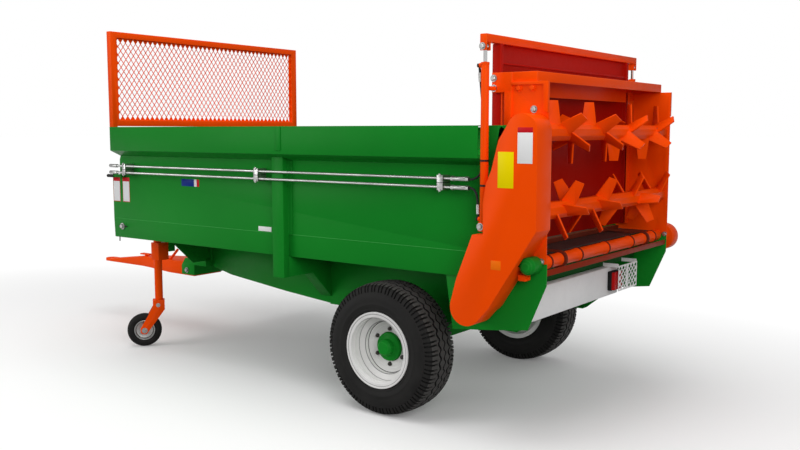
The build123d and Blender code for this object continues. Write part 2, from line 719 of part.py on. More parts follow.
guard_clear_z = guard_top[1] + guard_top_r + move_gap
both_sides("side_frame", side_frame(guard_clear_z))

hood = block((hood_rear_x, hood_front_x), (-web_out, web_out), (hood_low_z, hood_top_z))
hood -= block((hood_rear_x + hood_t, hood_front_x - hood_t), (-web_out + hood_t, web_out - hood_t),
              (hood_low_z, hood_top_z - hood_t))
hood += block((brace_x, brace_x + web_t), (-brace_half_w, brace_half_w), (brace_low_z, hood_top_z - hood_t))
bracket = block(bracket_x, (web_out, bracket_y), (bracket_low_z, hood_top_z))
bracket += block(barrel_lug_x, (bracket_y, cylinder_y - cylinder_r), barrel_lug_z)
pieces["hood"] = hood + [bracket, right_of(bracket)]

# bearings of the beater shafts and of the conveyor shaft, on the outside of the webs
def bearing(z, x, shaft):
    ys = (web_out, web_out + bearing_t)
    return round_y(bearing_r, x, ys, z) - round_y(shaft, x, ys, z)


bearings = [bearing(z, beater_x, beater_shaft_r + running) for z in (beater_high_z, beater_low_z)]
roller_bearing = bearing(roller_z, roller_x, roller_shaft_r)
pieces["bearings"] = Compound(bearings + [right_of(b) for b in bearings] + [right_of(roller_bearing)])
shaft_end_y = web_out + bearing_t + roller_stub
cap = turned([(web_out, roller_shaft_r), (web_out, bearing_r), (cap_y - 24, bearing_r),
              (cap_y - 8, bearing_r - 10), (cap_y, bearing_r - 24), (cap_y, 0), (shaft_end_y, 0),
              (shaft_end_y, roller_shaft_r)])
pieces["roller_cap"] = Pos(roller_x, 0, roller_z) * cap

# skirts below the rear frame, cross member and lights panel
skirt_y = (web_y - skirt_t, web_y)
skirt = slab_xz([(rear_x, skirt_top_z), (rear_x, skirt_rear_low_z)] + list(skirt_line) +
                [(skirt_front_x, foot_z), (guide_front_x, foot_z), (guide_front_x, skirt_top_z)], skirt_y)
skirt -= round_y(drive_r + move_gap, gearbox_x, (skirt_y[0] - fit, skirt_y[1] + fit), drive_z)
skirt -= round_y(roller_shaft_r, roller_x, (skirt_y[0] - fit, skirt_y[1] + fit), roller_z)
pieces["skirts"] = Compound([skirt, right_of(skirt)])
pieces["rear_crossmember"] = block(cross_x, (-skirt_y[0], skirt_y[0]), (cross_low_z, cross_top_z))
pieces["tail_lip"] = block(lip_x, (-skirt_y[0], skirt_y[0]), lip_z)
panel_y = (panel_right_y, skirt_y[0])
panel = block((panel_x, panel_x - panel_t), panel_y, (panel_low_z, panel_high_z))
for z in ((panel_low_z, panel_low_z + panel_t), (panel_high_z - panel_t, panel_high_z)):
    panel += block((panel_x, cross_x[0] + panel_lip), panel_y, z)
pieces["lights_panel"] = panel
lamp_face_x = panel_x - panel_t - lamp_d
pieces["lamps"] = block((lamp_face_x, panel_x - panel_t), (lamp_y - lamp_w / 2, lamp_y + lamp_w / 2),
                        (lamp_z - lamp_h / 2, lamp_z + lamp_h / 2))
guard_face = (lamp_face_x - lamp_guard_gap - mesh_t, lamp_face_x - lamp_guard_gap)
lamp_mesh = mesh(lamp_guard_y, lamp_guard_z, guard_face, *lamp_mesh_pitch, lamp_mesh_strand)
lamp_mesh += block(guard_face, lamp_strip_y, lamp_guard_z)
for y in (lamp_guard_y[0], lamp_guard_y[1] - mesh_t):
    lamp_mesh += block((guard_face[1], cross_x[0]), (y, y + mesh_t), lamp_arm_z)
pieces["lamp_guards"] = lamp_mesh


# ---------------------------------------------------------------- chain guard
def guard_outline(inset):
    """Outline in x and z, drawn in by a sheet's thickness for the inside."""
    top_r, foot_r = guard_top_r - inset, guard_foot_r - inset
    tx, tz = guard_top
    fx, fz = guard_foot
    lead, heel, toe = radians(23), radians(16), radians(217)
    start = (tx - top_r, tz)
    lean = (tx + top_r * cos(lead), tz + top_r * sin(lead))
    front = [(x - inset, z - inset) for x, z in guard_front]
    back = [(x + inset, z + inset / 2) for x, z in guard_back]
    foot_a = (fx + foot_r * cos(heel), fz + foot_r * sin(heel))
    foot_b = (fx + foot_r * cos(toe), fz + foot_r * sin(toe))
    knee = (tx - top_r, guard_knee_z + inset / 2)

    def at(p):
        return (p[0], 0, p[1])
    lines = [ThreePointArc(at(start), (tx, 0, tz + top_r), at(lean)),
             Polyline(*[at(p) for p in [lean] + front + [foot_a]]),
             ThreePointArc(at(foot_a), (fx, 0, fz - foot_r), at(foot_b)),
             Polyline(*[at(p) for p in [foot_b] + back + [knee, start]])]
    return make_face(lines)


guard = Pos(0, web_out + fit, 0) * extrude(guard_outline(0), amount=guard_y - web_out - fit, dir=(0, 1, 0))
guard -= extrude(guard_outline(guard_t), amount=guard_y - guard_t, dir=(0, 1, 0))
guard -= block((cylinder_x - cylinder_r - move_gap, 0), (web_out, guard_y - guard_t),
               (barrel_low_z - cylinder_foot_h - move_gap, box_top_z))
guard -= block((wall_rear_x - fit, 0), (web_out, box_half_w + fit), (0, box_top_z))
guard -= round_y(bearing_r + fit, roller_x, (web_out, cap_y + fit), roller_z)
pieces["chain_guard"] = guard


# ---------------------------------------------------------------- beaters
def beater(z, firsts, turn_step):
    """Eight-sided tube with its shaft and two opposed spirals of paddles."""
    half = web_y - beater_end_gap
    flats = RegularPolygon(beater_flats / 2, 8, major_radius=False, rotation=22.5)
    plane = Plane(origin=(beater_x, -half, z), x_dir=(1, 0, 0), z_dir=(0, 1, 0))
    solid = extrude(plane * flats, amount=2 * half)
    solid += round_y(beater_shaft_r, beater_x, (-web_out - bearing_t - 20, guard_y - guard_t - move_gap), z)
    inner = beater_flats / 2 - 6
    blade = Polyline((-paddle_root_w / 2, inner), (-paddle_tip_w / 2, paddle_reach),
                     (paddle_tip_w / 2, paddle_reach), (paddle_root_w / 2, inner), close=True)
    face = Plane(origin=(0, 0, 0), x_dir=(0, 1, 0), z_dir=(1, 0, 0)) * make_face(blade)
    flat = Pos(-paddle_t / 2, 0, 0) * extrude(face, amount=paddle_t)
    paddles = []
    for side, (first_y, first) in zip((1, -1), firsts):
        for n in range(paddle_count):
            turn = Rot(0, -(first + turn_step * n), 0) * Rot(0, 0, -side * paddle_twist)
            y = side * (first_y - paddle_step * n)
            paddles.append(Pos(beater_x, y, z) * turn * flat)
    return solid + paddles


pieces["beater_upper"] = beater(beater_high_z, upper_first, paddle_angle)
pieces["beater_lower"] = beater(beater_low_z, lower_first, -paddle_angle)


# ---------------------------------------------------------------- door
slat_top_z = floor_z + 2 + slat_h
door_low_z = slat_top_z + door_over_slats
stile_y = (web_y - move_gap - 26, web_y - move_gap)
stile_x = (door_x - door_stile / 2, door_x + door_stile / 2)
beam_low_z = door_beam_top_z - door_beam_h
stile = block(stile_x, stile_y, (door_low_z, beam_low_z))
sheet = block((door_x - door_t / 2, door_x + door_t / 2), (-stile_y[0], stile_y[0]), (door_low_z, beam_low_z))
rear_face_x = door_x - door_t / 2
rib = block((rear_face_x - door_rib, rear_face_x), (-stile_y[0], stile_y[0]), door_rib_z)
pieces["door"] = sheet + [stile, right_of(stile), rib]
beam_x = (cylinder_x - door_beam_d / 2, cylinder_x + door_beam_d / 2)
beam = block(beam_x, (-door_beam_half_w, door_beam_half_w), (beam_low_z, door_beam_top_z))
lugs = [block(beam_x, (y, y + eye_lug_t), (eye_lug_low_z, beam_low_z))
        for y in (door_beam_half_w - eye_lug_t, 2 * cylinder_y - door_beam_half_w)]
pieces["door_beam"] = beam + lugs + [right_of(lug) for lug in lugs]
rod = round_z(rod_r, cylinder_x, cylinder_y, (rod_low_z, rod_eye_z))
eye_half = door_beam_half_w - eye_lug_t - cylinder_y - fit / 2
rod += round_y(rod_eye_r, cylinder_x, (cylinder_y - eye_half, cylinder_y + eye_half), rod_eye_z)
pieces["cylinder_rods"] = Compound([rod, right_of(rod)])

barrel = round_z(cylinder_r, cylinder_x, cylinder_y, (barrel_low_z, barrel_high_z))
barrel -= round_z(cylinder_bore_r, cylinder_x, cylinder_y, (barrel_low_z + gland_h, barrel_high_z - gland_h))
barrel -= round_z(rod_r + running, cylinder_x, cylinder_y, (barrel_high_z - gland_h - fit, barrel_high_z + fit))
pieces["cylinders"] = Compound([barrel, right_of(barrel)])

# guides: angles on the inside of the webs, in front of and behind the stiles
guides = [block((guide_front_x, guide_front_x - guide_t), (web_y - guide_w, web_y), (door_low_z, box_top_z)),
          block((guide_rear_x, guide_rear_x + guide_t), (web_y - guide_w, web_y), (door_low_z, hood_low_z))]
pieces["door_guides"] = Compound(guides + [right_of(g) for g in guides])

# brackets that carry the cylinders' feet
foot = block((cylinder_x - cylinder_r, cylinder_x + cylinder_r), (box_half_w, cylinder_y + cylinder_r),
             (barrel_low_z - cylinder_foot_h, barrel_low_z))
pieces["cylinder_feet"] = Compound([foot, right_of(foot)])


# ---------------------------------------------------------------- conveyor
roller = round_y(roller_r, roller_x, (-web_y + 20, web_y - 20), roller_z)
roller += round_y(roller_shaft_r, roller_x, (-web_out - bearing_t - roller_stub, web_out + bearing_t + roller_stub),
                  roller_z)
for side in (1, -1):
    ys = (side * (chain_y - sprocket_t / 2), side * (chain_y + sprocket_t / 2))
    roller += round_y(chain_r - chain_t / 2 - fit / 2, roller_x, ys, roller_z)
for y in roller_ring_ys:
    roller += round_y(roller_r + roller_ring, roller_x, (y - roller_ring, y + roller_ring), roller_z)
pieces["conveyor_roller"] = roller
neck_y = (-web_out - bearing_t, -conveyor_box_y[0])
conveyor_box = round_y(conveyor_box_r, roller_x, (-conveyor_box_y[0], -conveyor_box_y[1]), conveyor_box_z)
conveyor_box += round_y(bearing_r, roller_x, neck_y, roller_z)
conveyor_box -= round_y(roller_shaft_r, roller_x, (-web_out - bearing_t - roller_stub, 0), roller_z)
pieces["conveyor_gearbox"] = conveyor_box


def loop(radius, ys):
    body = block((roller_x, idler_x), ys, (roller_z - radius, roller_z + radius))
    return body + round_y(radius, roller_x, ys, roller_z) + round_y(radius, idler_x, ys, roller_z)


runs = []
for side in (1, -1):
    ys = (side * chain_y - chain_w / 2, side * chain_y + chain_w / 2)
    runs.append(loop(chain_r + chain_t / 2, ys) - loop(chain_r - chain_t / 2, ys))
slat_count = int((idler_x - roller_x) / slat_pitch)
for n in range(slat_count):
    x = roller_x + slat_pitch * (n + 0.6)
    for z in (roller_z + chain_r, roller_z - chain_r):
        runs.append(block((x - slat_w / 2, x + slat_w / 2), (-slat_half_len, slat_half_len),
                          (z - slat_h / 2, z + slat_h / 2)))
pieces["conveyor_chain"] = runs[0] + runs[1:]
idler_half = foot_half_w - foot_flange + 20
idler = round_y(16, idler_x, (-idler_half, idler_half), roller_z)
for side in (1, -1):
    ys = (side * (chain_y - sprocket_t / 2), side * (chain_y + sprocket_t / 2))
    idler += round_y(chain_r - chain_t / 2 - fit / 2, idler_x, ys, roller_z)
pieces["conveyor_idler"] = idler


# ---------------------------------------------------------------- drive line
tube_x = (gearbox_x + gearbox_half, stub_front_x - stub_len - 20)
drive_tube = round_x(drive_tube_r, tube_x, 0, drive_z) - round_x(drive_tube_bore_r, tube_x, 0, drive_z)
for x in (tube_x[0], tube_x[1] - bush_len):
    drive_tube += round_x(drive_tube_bore_r, (x, x + bush_len), 0, drive_z) \
        - round_x(drive_r + running, (x, x + bush_len), 0, drive_z)
pieces["drive_tube"] = drive_tube
stub_rear_x = stub_front_x - stub_len
shaft = round_x(drive_r, (tube_x[0] - 40, stub_rear_x), 0, drive_z)
shaft += round_x(stub_r, (stub_rear_x, stub_front_x), 0, drive_z)
pieces["drive_shaft"] = shaft
gearbox = block((gearbox_x - gearbox_half, gearbox_x + gearbox_half), (-75, 75), (drive_z - 80, drive_z + 80))
gearbox -= round_x(drive_r + running, (tube_x[0] - 42, tube_x[0] + fit), 0, drive_z)
pieces["gearbox"] = gearbox
pieces["cross_shaft"] = round_y(drive_r, gearbox_x, (75, cross_shaft_y), drive_z)

# ---------------------------------------------------------------- hydraulic pipes
pipe_y = box_half_w + pillar_depth + pipe_r + 3
ends = ((pipe_front_x - ferrule_len, pipe_front_x), (pipe_rear_x, pipe_rear_x + ferrule_len))
pipes = []
for z in pipe_zs:
    pipe = round_x(pipe_r, (pipe_rear_x, pipe_front_x), pipe_y, z)
    pipes.append(pipe + [round_x(ferrule_r, x, pipe_y, z) for x in ends])
    stub = round_x(ferrule_r, ends[1], pipe_y, z)
    stub += round_y(ferrule_r, ends[1][1] - ferrule_r, (box_half_w, pipe_y), z)
    pipes.append(right_of(stub))
pieces["hydraulic_pipes"] = Compound(pipes)

# hoses from the pipes' rear ends to the cylinders' ports
port_x = cylinder_x + cylinder_r
hose_end_x = port_x + 2 * hose_r


def hose(pipe_z, points, port_z):
    collar = round_x(hose_r + fit, (pipe_rear_x - hose_collar, pipe_rear_x), pipe_y, pipe_z)
    path = Spline((pipe_rear_x - hose_collar / 2, pipe_y, pipe_z), *points, (hose_end_x, cylinder_y, port_z))
    return collar + sweep(Plane(origin=path @ 0, z_dir=path % 0) * Circle(hose_r), path=path)


hoses = [hose(pipe_zs[0], long_hose, port_zs[1] - port_r), hose(pipe_zs[1], short_hose, port_zs[0] + port_r)]
for z in port_zs:
    hoses.append(round_x(port_r, (port_x, hose_end_x + port_r), cylinder_y, z))
pieces["hydraulic_hoses"] = Compound(hoses + [right_of(h) for h in hoses])
clamps = []
for x in clamp_xs:
    clamp = block((x - 18, x + 18), (box_half_w, pipe_y + pipe_r + 6), (pipe_zs[1] - 16, pipe_zs[0] + 16))
    for z in pipe_zs:
        clamp -= round_x(pipe_r, (x - 19, x + 19), pipe_y, z)
    clamps.append(clamp)
pieces["pipe_clamps"] = Compound(clamps)

# ---------------------------------------------------------------- writing the pieces
front = pieces["drawbar"].bounding_box().max.X
rear = pieces["beater_upper"].bounding_box().min.X
rear = min(rear, pieces["beater_lower"].bounding_box().min.X)
middle = (front + rear) / 2

os.makedirs("parts", exist_ok=True)
for name, shape in pieces.items():
    placed = Pos(-middle, 0, 0) * shape
    export_step(placed, "parts/" + name + ".step")
print("pieces", len(pieces), "middle", round(middle, 3), "front", round(front, 1), "rear", round(rear, 1))
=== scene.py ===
import bpy
import bmesh
import json
from math import atan2, cos, hypot, pi, radians, sin
from mathutils import Matrix, Vector


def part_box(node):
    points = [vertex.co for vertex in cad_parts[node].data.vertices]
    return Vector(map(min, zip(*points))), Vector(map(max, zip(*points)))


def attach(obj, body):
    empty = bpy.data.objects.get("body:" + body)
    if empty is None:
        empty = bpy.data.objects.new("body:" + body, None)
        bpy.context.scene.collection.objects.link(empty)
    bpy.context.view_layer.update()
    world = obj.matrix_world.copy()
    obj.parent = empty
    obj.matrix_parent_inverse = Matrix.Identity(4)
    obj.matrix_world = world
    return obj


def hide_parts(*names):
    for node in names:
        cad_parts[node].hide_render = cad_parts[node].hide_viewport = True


# Dresses the manure spreader: paint, eased edges, bolts, blank plates, hose ends, tyres, lamp and fittings.
# Metres, +X towards the drawbar, +Y the left side, +Z up.

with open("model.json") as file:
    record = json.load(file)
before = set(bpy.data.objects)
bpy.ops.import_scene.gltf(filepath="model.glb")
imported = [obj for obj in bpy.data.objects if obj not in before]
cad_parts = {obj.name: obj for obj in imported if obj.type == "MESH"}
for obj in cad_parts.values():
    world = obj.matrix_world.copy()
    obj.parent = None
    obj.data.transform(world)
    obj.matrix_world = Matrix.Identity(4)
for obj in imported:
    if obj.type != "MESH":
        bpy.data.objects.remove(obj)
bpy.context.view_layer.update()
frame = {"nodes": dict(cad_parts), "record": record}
axleX = sum(corner.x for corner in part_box("tyre_left")) / 2
slotOf = {row["node"]: row["material_slot"] for row in frame["record"]["subparts"]}
bodyOf = {node: body for body, nodes in frame["record"]["behaviour"]["bodies"].items() for node in nodes}
print("frame loaded:", len(slotOf), "nodes")


# ---- materials -------------------------------------------------------------------------------

def startMaterial(name):
    material = bpy.data.materials.new(name)
    material.use_nodes = True
    tree = material.node_tree
    shader = tree.nodes["Principled BSDF"]
    coords = tree.nodes.new("ShaderNodeTexCoord")
    return material, tree, shader, coords.outputs["Object"]


def noiseAt(tree, vector, scale, detail=3.0, roughness=0.5, stretch=None):
    if stretch:
        mapping = tree.nodes.new("ShaderNodeMapping")
        mapping.inputs["Scale"].default_value = stretch
        tree.links.new(vector, mapping.inputs["Vector"])
        vector = mapping.outputs["Vector"]
    node = tree.nodes.new("ShaderNodeTexNoise")
    node.inputs["Scale"].default_value = scale
    node.inputs["Detail"].default_value = detail
    node.inputs["Roughness"].default_value = roughness
    tree.links.new(vector, node.inputs["Vector"])
    return node.outputs["Fac"]


def rampOf(tree, value, stops):
    ramp = tree.nodes.new("ShaderNodeValToRGB")
    ramp.color_ramp.elements[0].position = stops[0][0]
    ramp.color_ramp.elements[0].color = (*stops[0][1], 1)
    ramp.color_ramp.elements[1].position = stops[-1][0]
    ramp.color_ramp.elements[1].color = (*stops[-1][1], 1)
    for position, colour in stops[1:-1]:
        ramp.color_ramp.elements.new(position).color = (*colour, 1)
    tree.links.new(value, ramp.inputs["Fac"])
    return ramp.outputs["Color"]


def spread(tree, value, low, high, fromLow=0.3, fromHigh=0.7):
    node = tree.nodes.new("ShaderNodeMapRange")
    node.inputs["From Min"].default_value = fromLow
    node.inputs["From Max"].default_value = fromHigh
    node.inputs["To Min"].default_value = low
    node.inputs["To Max"].default_value = high
    tree.links.new(value, node.inputs["Value"])
    return node.outputs["Result"]


def mixed(tree, factor, first, second):
    node = tree.nodes.new("ShaderNodeMix")
    node.data_type = "RGBA"
    for name, value in (("Factor", factor), ("A", first), ("B", second)):
        socket = node.inputs[name]
        if isinstance(value, bpy.types.NodeSocket):
            tree.links.new(value, socket)
        elif isinstance(value, tuple):
            socket.default_value = (*value, 1)
        else:
            socket.default_value = value
    return node.outputs["Result"]


def mathOf(tree, operation, first, second):
    node = tree.nodes.new("ShaderNodeMath")
    node.operation = operation
    for number, value in enumerate((first, second)):
        if isinstance(value, bpy.types.NodeSocket):
            tree.links.new(value, node.inputs[number])
        else:
            node.inputs[number].default_value = value
    return node.outputs["Value"]


def edgeMark(tree):    # 1 on the faces of an eased edge and on a tyre's running faces
    node = tree.nodes.new("ShaderNodeAttribute")
    node.attribute_name = "edge"
    return node.outputs["Fac"]


def bumpFrom(tree, shader, *layers):    # each layer is height, strength, distance
    normal = None
    for height, strength, distance in layers:
        node = tree.nodes.new("ShaderNodeBump")
        node.inputs["Strength"].default_value = strength
        node.inputs["Distance"].default_value = distance
        tree.links.new(height, node.inputs["Height"])
        if normal:
            tree.links.new(normal, node.inputs["Normal"])
        normal = node.outputs["Normal"]
    tree.links.new(normal, shader.inputs["Normal"])


def scaled(colour, factor):
    return tuple(channel * factor for channel in colour)


def lifted(colour, factor, added):
    return tuple(factor * channel + added for channel in colour)


paintLook = {
    "broad": (1.4, 3, 0.5),    # each noise's scale, detail and roughness
    "fine": (24, 4, 0.6),
    "skin": (520, 1, 0.5),
    "wave": (3.2, 1, 0.4),
    "toneShare": (0.93, 1.07),
    "dustFrom": (0.45, 0.85),
    "dustTone": (0.75, 0.03),    # share of the colour, and what is added
    # eased edges are lighter: partly paint worn thin there, partly a painted highlight
    "edgeTone": (1.22, 0.012),
    "edgeMost": 0.9,
    "edgeShare": 0.55,
    "glossStep": (-0.04, 0.07),
    "specular": 0.05,
    "waveBump": (0.1, 0.003),
    "skinBump": (0.04, 0.0003),
}


def paintedSteel(name, colour, gloss=0.36, dust=0.05):
    material, tree, shader, place = startMaterial(name)
    kinds = ("broad", "fine", "skin", "wave")
    broad, fine, skin, wave = [noiseAt(tree, place, *paintLook[kind]) for kind in kinds]
    dark, light = [scaled(colour, share) for share in paintLook["toneShare"]]
    tone = rampOf(tree, broad, [(0.3, dark), (0.7, light)])
    grey = lifted(colour, *paintLook["dustTone"])
    body = mixed(tree, spread(tree, fine, 0.0, dust, *paintLook["dustFrom"]), tone, grey)
    # Eased edges turn lighter: partly paint worn thin, partly a painted highlight.
    bright = tuple(min(paintLook["edgeMost"], channel) for channel in lifted(colour, *paintLook["edgeTone"]))
    edgeAmount = mathOf(tree, "MULTIPLY", edgeMark(tree), paintLook["edgeShare"])
    tree.links.new(mixed(tree, edgeAmount, body, bright), shader.inputs["Base Color"])
    low, high = [gloss + step for step in paintLook["glossStep"]]
    tree.links.new(spread(tree, fine, low, high), shader.inputs["Roughness"])
    shader.inputs["Specular IOR Level"].default_value = paintLook["specular"]
    bumpFrom(tree, shader, (wave, *paintLook["waveBump"]), (skin, *paintLook["skinBump"]))
    return material


metalLook = {
    "streak": (140, 3, 0.6),    # each noise's scale, detail and roughness
    "broad": (9, 3, 0.5),
    "toneShare": (0.78, 1.08),
    "roughStep": (-0.1, 0.12),
    "bump": (0.15, 0.0006),
}


def metal(name, colour, rough=0.35, grain=(1, 1, 1), metallic=0.9):
    material, tree, shader, place = startMaterial(name)
    streak = noiseAt(tree, place, *metalLook["streak"], grain)
    broad = noiseAt(tree, place, *metalLook["broad"])
    dark, light = [scaled(colour, share) for share in metalLook["toneShare"]]
    tree.links.new(rampOf(tree, broad, [(0.3, dark), (0.7, light)]), shader.inputs["Base Color"])
    low, high = [rough + step for step in metalLook["roughStep"]]
    tree.links.new(spread(tree, streak, low, high), shader.inputs["Roughness"])
    shader.inputs["Metallic"].default_value = metallic
    bumpFrom(tree, shader, (streak, *metalLook["bump"]))
    return material


rubberLook = {
    "broad": (7, 5, 0.6),    # each noise's scale, detail and roughness
    "grit": (420, 2, 0.5),
    "toneShare": (0.75, 1.5),
    # the paler running faces are a painted highlight
    "runningShare": 5.0,    # running faces are paler by this
    "roughStep": (-0.1, 0.12),
    "specular": 0.15,
    "bump": (0.12, 0.0006),
}


def rubber(name, colour, rough=0.6):
    material, tree, shader, place = startMaterial(name)
    broad = noiseAt(tree, place, *rubberLook["broad"])
    grit = noiseAt(tree, place, *rubberLook["grit"])
    dark, light = [scaled(colour, share) for share in rubberLook["toneShare"]]
    tone = rampOf(tree, broad, [(0.35, dark), (0.7, light)])
    # running faces mixed towards a paler tone: painted highlight
    runningHighlight = scaled(colour, rubberLook["runningShare"])
    tree.links.new(mixed(tree, edgeMark(tree), tone, runningHighlight), shader.inputs["Base Color"])
    low, high = [rough + step for step in rubberLook["roughStep"]]
    tree.links.new(spread(tree, broad, low, high), shader.inputs["Roughness"])
    shader.inputs["Specular IOR Level"].default_value = rubberLook["specular"]
    bumpFrom(tree, shader, (grit, *rubberLook["bump"]))
    return material


finishes = {
    "green_paint": paintedSteel("greenPaint", (0.0065, 0.225, 0.0185)),
    "orange_paint": paintedSteel("orangePaint", (0.99, 0.078, 0.0006)),
    "white_paint": paintedSteel("wheelPaint", (0.76, 0.75, 0.74), 0.38, 0.1),
    "panel_white": paintedSteel("panelPaint", (0.9, 0.9, 0.9), 0.42, 0.2),
    "tyre_rubber": rubber("tyreRubber", (0.012, 0.0115, 0.011)),
    "hose_rubber": rubber("hoseRubber", (0.014, 0.014, 0.014), 0.5),
    "zinc": metal("zincPlate", (0.44, 0.44, 0.43), 0.32, (0.05, 1, 1)),
    "chrome_rod": metal("chromeRod", (0.55, 0.55, 0.55), 0.14, (1, 1, 0.05), 1.0),
    "bare_steel": metal("bareSteel", (0.45, 0.44, 0.42), 0.36),
    "dark_steel": metal("darkSteel", (0.05, 0.045, 0.04), 0.5, (1, 1, 1), 0.4),
    "lamp_red": paintedSteel("lampRed", (0.5, 0.008, 0.008), 0.18, 0.0),
}
extras = {
    "plateWhite": paintedSteel("plateWhite", (0.86, 0.86, 0.86), 0.3, 0.02),
    "plateRed": paintedSteel("plateRed", (0.62, 0.012, 0.02), 0.3, 0.02),
    "plateYellow": paintedSteel("plateYellow", (0.9, 0.72, 0.0), 0.3, 0.02),
    "plateBlue": paintedSteel("plateBlue", (0.008, 0.03, 0.24), 0.3, 0.02),
    "padOrange": paintedSteel("padOrange", (0.93, 0.17, 0.004), 0.4, 0.02),
    # lighter green of the crease bead: a painted highlight along the fold
    "creaseHighlightGreen": paintedSteel("creaseHighlightGreen", (0.05, 0.36, 0.07), 0.36, 0.02),
    # darker red for the tail lip and darker green for the rear crossmember: painted shade
    "lipShadeRed": paintedSteel("lipShadeRed", (0.25, 0.02, 0.004), 0.45, 0.1),
    "underShadeGreen": paintedSteel("underShadeGreen", (0.006, 0.08, 0.012), 0.5, 0.1),
    # the door's deep red is painted shade
    "doorShadeOrange": paintedSteel("doorShadeOrange", (0.42, 0.006, 0.001), 0.45, 0.05),
    # grey for the rings at the rim's steps and slope: painted shade
    "stepShadeGrey": paintedSteel("stepShadeGrey", (0.3, 0.3, 0.3), 0.5, 0.1),
    "bandBrown": paintedSteel("bandBrown", (0.14, 0.022, 0.010), 0.55, 0.1),
    # black for the real black parts (lamp housing, clamp joints, valves, rod ends) and painted shade in tyre
    # grooves, slots and the rim's disc edge
    "blackAndShade": rubber("blackPartsAndShade", (0.01, 0.01, 0.01), 0.5),
}
print("materials made:", len(finishes))


# ---- nodes dressed: copies with merged faces and eased edges ----------------------------------

def shown(mesh, name, slot, body, material=None):
    data = bpy.data.meshes.new(name)
    mesh.to_mesh(data)
    mesh.free()
    piece = bpy.data.objects.new(name, data)
    bpy.context.scene.collection.objects.link(piece)
    piece.data.materials.append(material or finishes[slot])
    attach(piece, body)
    return piece


def cleanCopy(node):
    mesh = bmesh.new()
    mesh.from_mesh(frame["nodes"][node].data)
    bmesh.ops.remove_doubles(mesh, verts=mesh.verts, dist=0.00002)
    bmesh.ops.dissolve_limit(mesh, angle_limit=radians(0.5), verts=mesh.verts, edges=mesh.edges)
    return mesh


def easeEdges(mesh, width, segments=2, sharpest=28):
    sharp = [edge for edge in mesh.edges if edge.is_manifold and edge.calc_face_angle(0) > radians(sharpest)]
    if not sharp:
        return
    layer = mesh.faces.layers.float.get("edge") or mesh.faces.layers.float.new("edge")
    made = bmesh.ops.bevel(mesh, geom=sharp, offset=width, offset_type="OFFSET", segments=segments,
                           affect="EDGES", profile=0.5, material=-1, clamp_overlap=True)
    for face in made["faces"]:
        face[layer] = 1.0


def smoothFaces(piece, angle=32):
    piece.data.shade_smooth()
    piece.data.set_sharp_from_angle(angle=radians(angle))


shaftBores = {"x": -0.955, "z": (1.600, 1.205), "reach": 0.0215, "slack": 0.0006}


def widenBores(mesh):    # so that the turning shafts' flats don't cut the bores' flats
    for vert in mesh.verts:
        for z in shaftBores["z"]:
            out = Vector((vert.co.x - axleX - shaftBores["x"], 0, vert.co.z - z))
            if out.length < shaftBores["reach"]:
                vert.co += out.normalized() * shaftBores["slack"]


nutZone = {"reach": (0.0905, 0.1145), "outboard": 0.766}


# the hub nuts get dark steel: painted shade of the holes they sit in
def darkenNuts(piece, node):
    low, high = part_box(node)
    middle = (low + high) / 2
    piece.data.materials.append(finishes["dark_steel"])
    for polygon in piece.data.polygons:
        reach = hypot(polygon.center.x - middle.x, polygon.center.z - middle.z)
        if nutZone["reach"][0] < reach < nutZone["reach"][1] and abs(polygon.center.y) > nutZone["outboard"]:
            polygon.material_index = 1


faceBand = 0.0004    # what lies this close to the left face is part of it


def dress(node, width, facePull=0.0):
    mesh = cleanCopy(node)
    if facePull:    # leaves room for the plates on the left face
        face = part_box(node)[1].y - faceBand
        for vert in mesh.verts:
            if vert.co.y > face:
                vert.co.y -= facePull
    if width:
        easeEdges(mesh, width)
    if node == "bearings":
        widenBores(mesh)
    piece = shown(mesh, node + "_shown", slotOf[node], bodyOf[node], ownPaint.get(node))
    smoothFaces(piece)
    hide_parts(node)
    return piece


plainEasing = 0.0015
easing = {"fence_mesh": 0.0, "lamp_guards": 0.0, "fence_frame": 0.004, "drawbar": 0.003, "axle": 0.004,
          "hub_left": 0.002, "hub_right": 0.002, "pipe_clamps": 0.003, "chain_guard": 0.003,
          "door_beam": 0.003, "pillars": 0.003, "hood": 0.002, "jack_tyre": 0.0,
          "conveyor_gearbox": 0.004, "roller_cap": 0.003}
# tail lip, rear crossmember and door get darker paint as painted shade; the conveyor chain's brown is its own
# colour
ownPaint = {"tail_lip": extras["lipShadeRed"], "rear_crossmember": extras["underShadeGreen"],
            "conveyor_chain": extras["bandBrown"], "door": extras["doorShadeOrange"]}
guardPull = 0.0008
remade = ("tyre_left", "tyre_right", "lamps")
for node in sorted(slotOf):
    if node not in remade:
        piece = dress(node, easing.get(node, plainEasing), guardPull if node == "chain_guard" else 0.0)
        if node.startswith("hub_"):
            darkenNuts(piece, node)
print("nodes dressed")


# ---- small forms ------------------------------------------------------------------------------

def fromAxle(x, y, z):
    return Vector((axleX + x, y, z))


def turnTo(direction):
    return Vector(direction).to_track_quat("Z", "Y").to_matrix().to_4x4()


def addRod(mesh, start, end, radius, segments=16, endRadius=None):
    matrix = Matrix.Translation((start + end) / 2) @ turnTo(end - start)
    bmesh.ops.create_cone(mesh, cap_ends=True, segments=segments, radius1=radius,
                          radius2=radius if endRadius is None else endRadius,
                          depth=(end - start).length, matrix=matrix)


def addBlock(mesh, low, high, ease=0.0):
    made = bmesh.ops.create_cube(mesh, size=1.0)["verts"]
    bmesh.ops.scale(mesh, vec=[abs(b - a) for a, b in zip(low, high)], verts=made)
    bmesh.ops.translate(mesh, vec=(low + high) / 2, verts=made)
    if ease:
        edges = list({edge for vert in made for edge in vert.link_edges})
        bmesh.ops.bevel(mesh, geom=edges, offset=ease, offset_type="OFFSET", segments=2, affect="EDGES",
                        profile=0.5, material=-1)


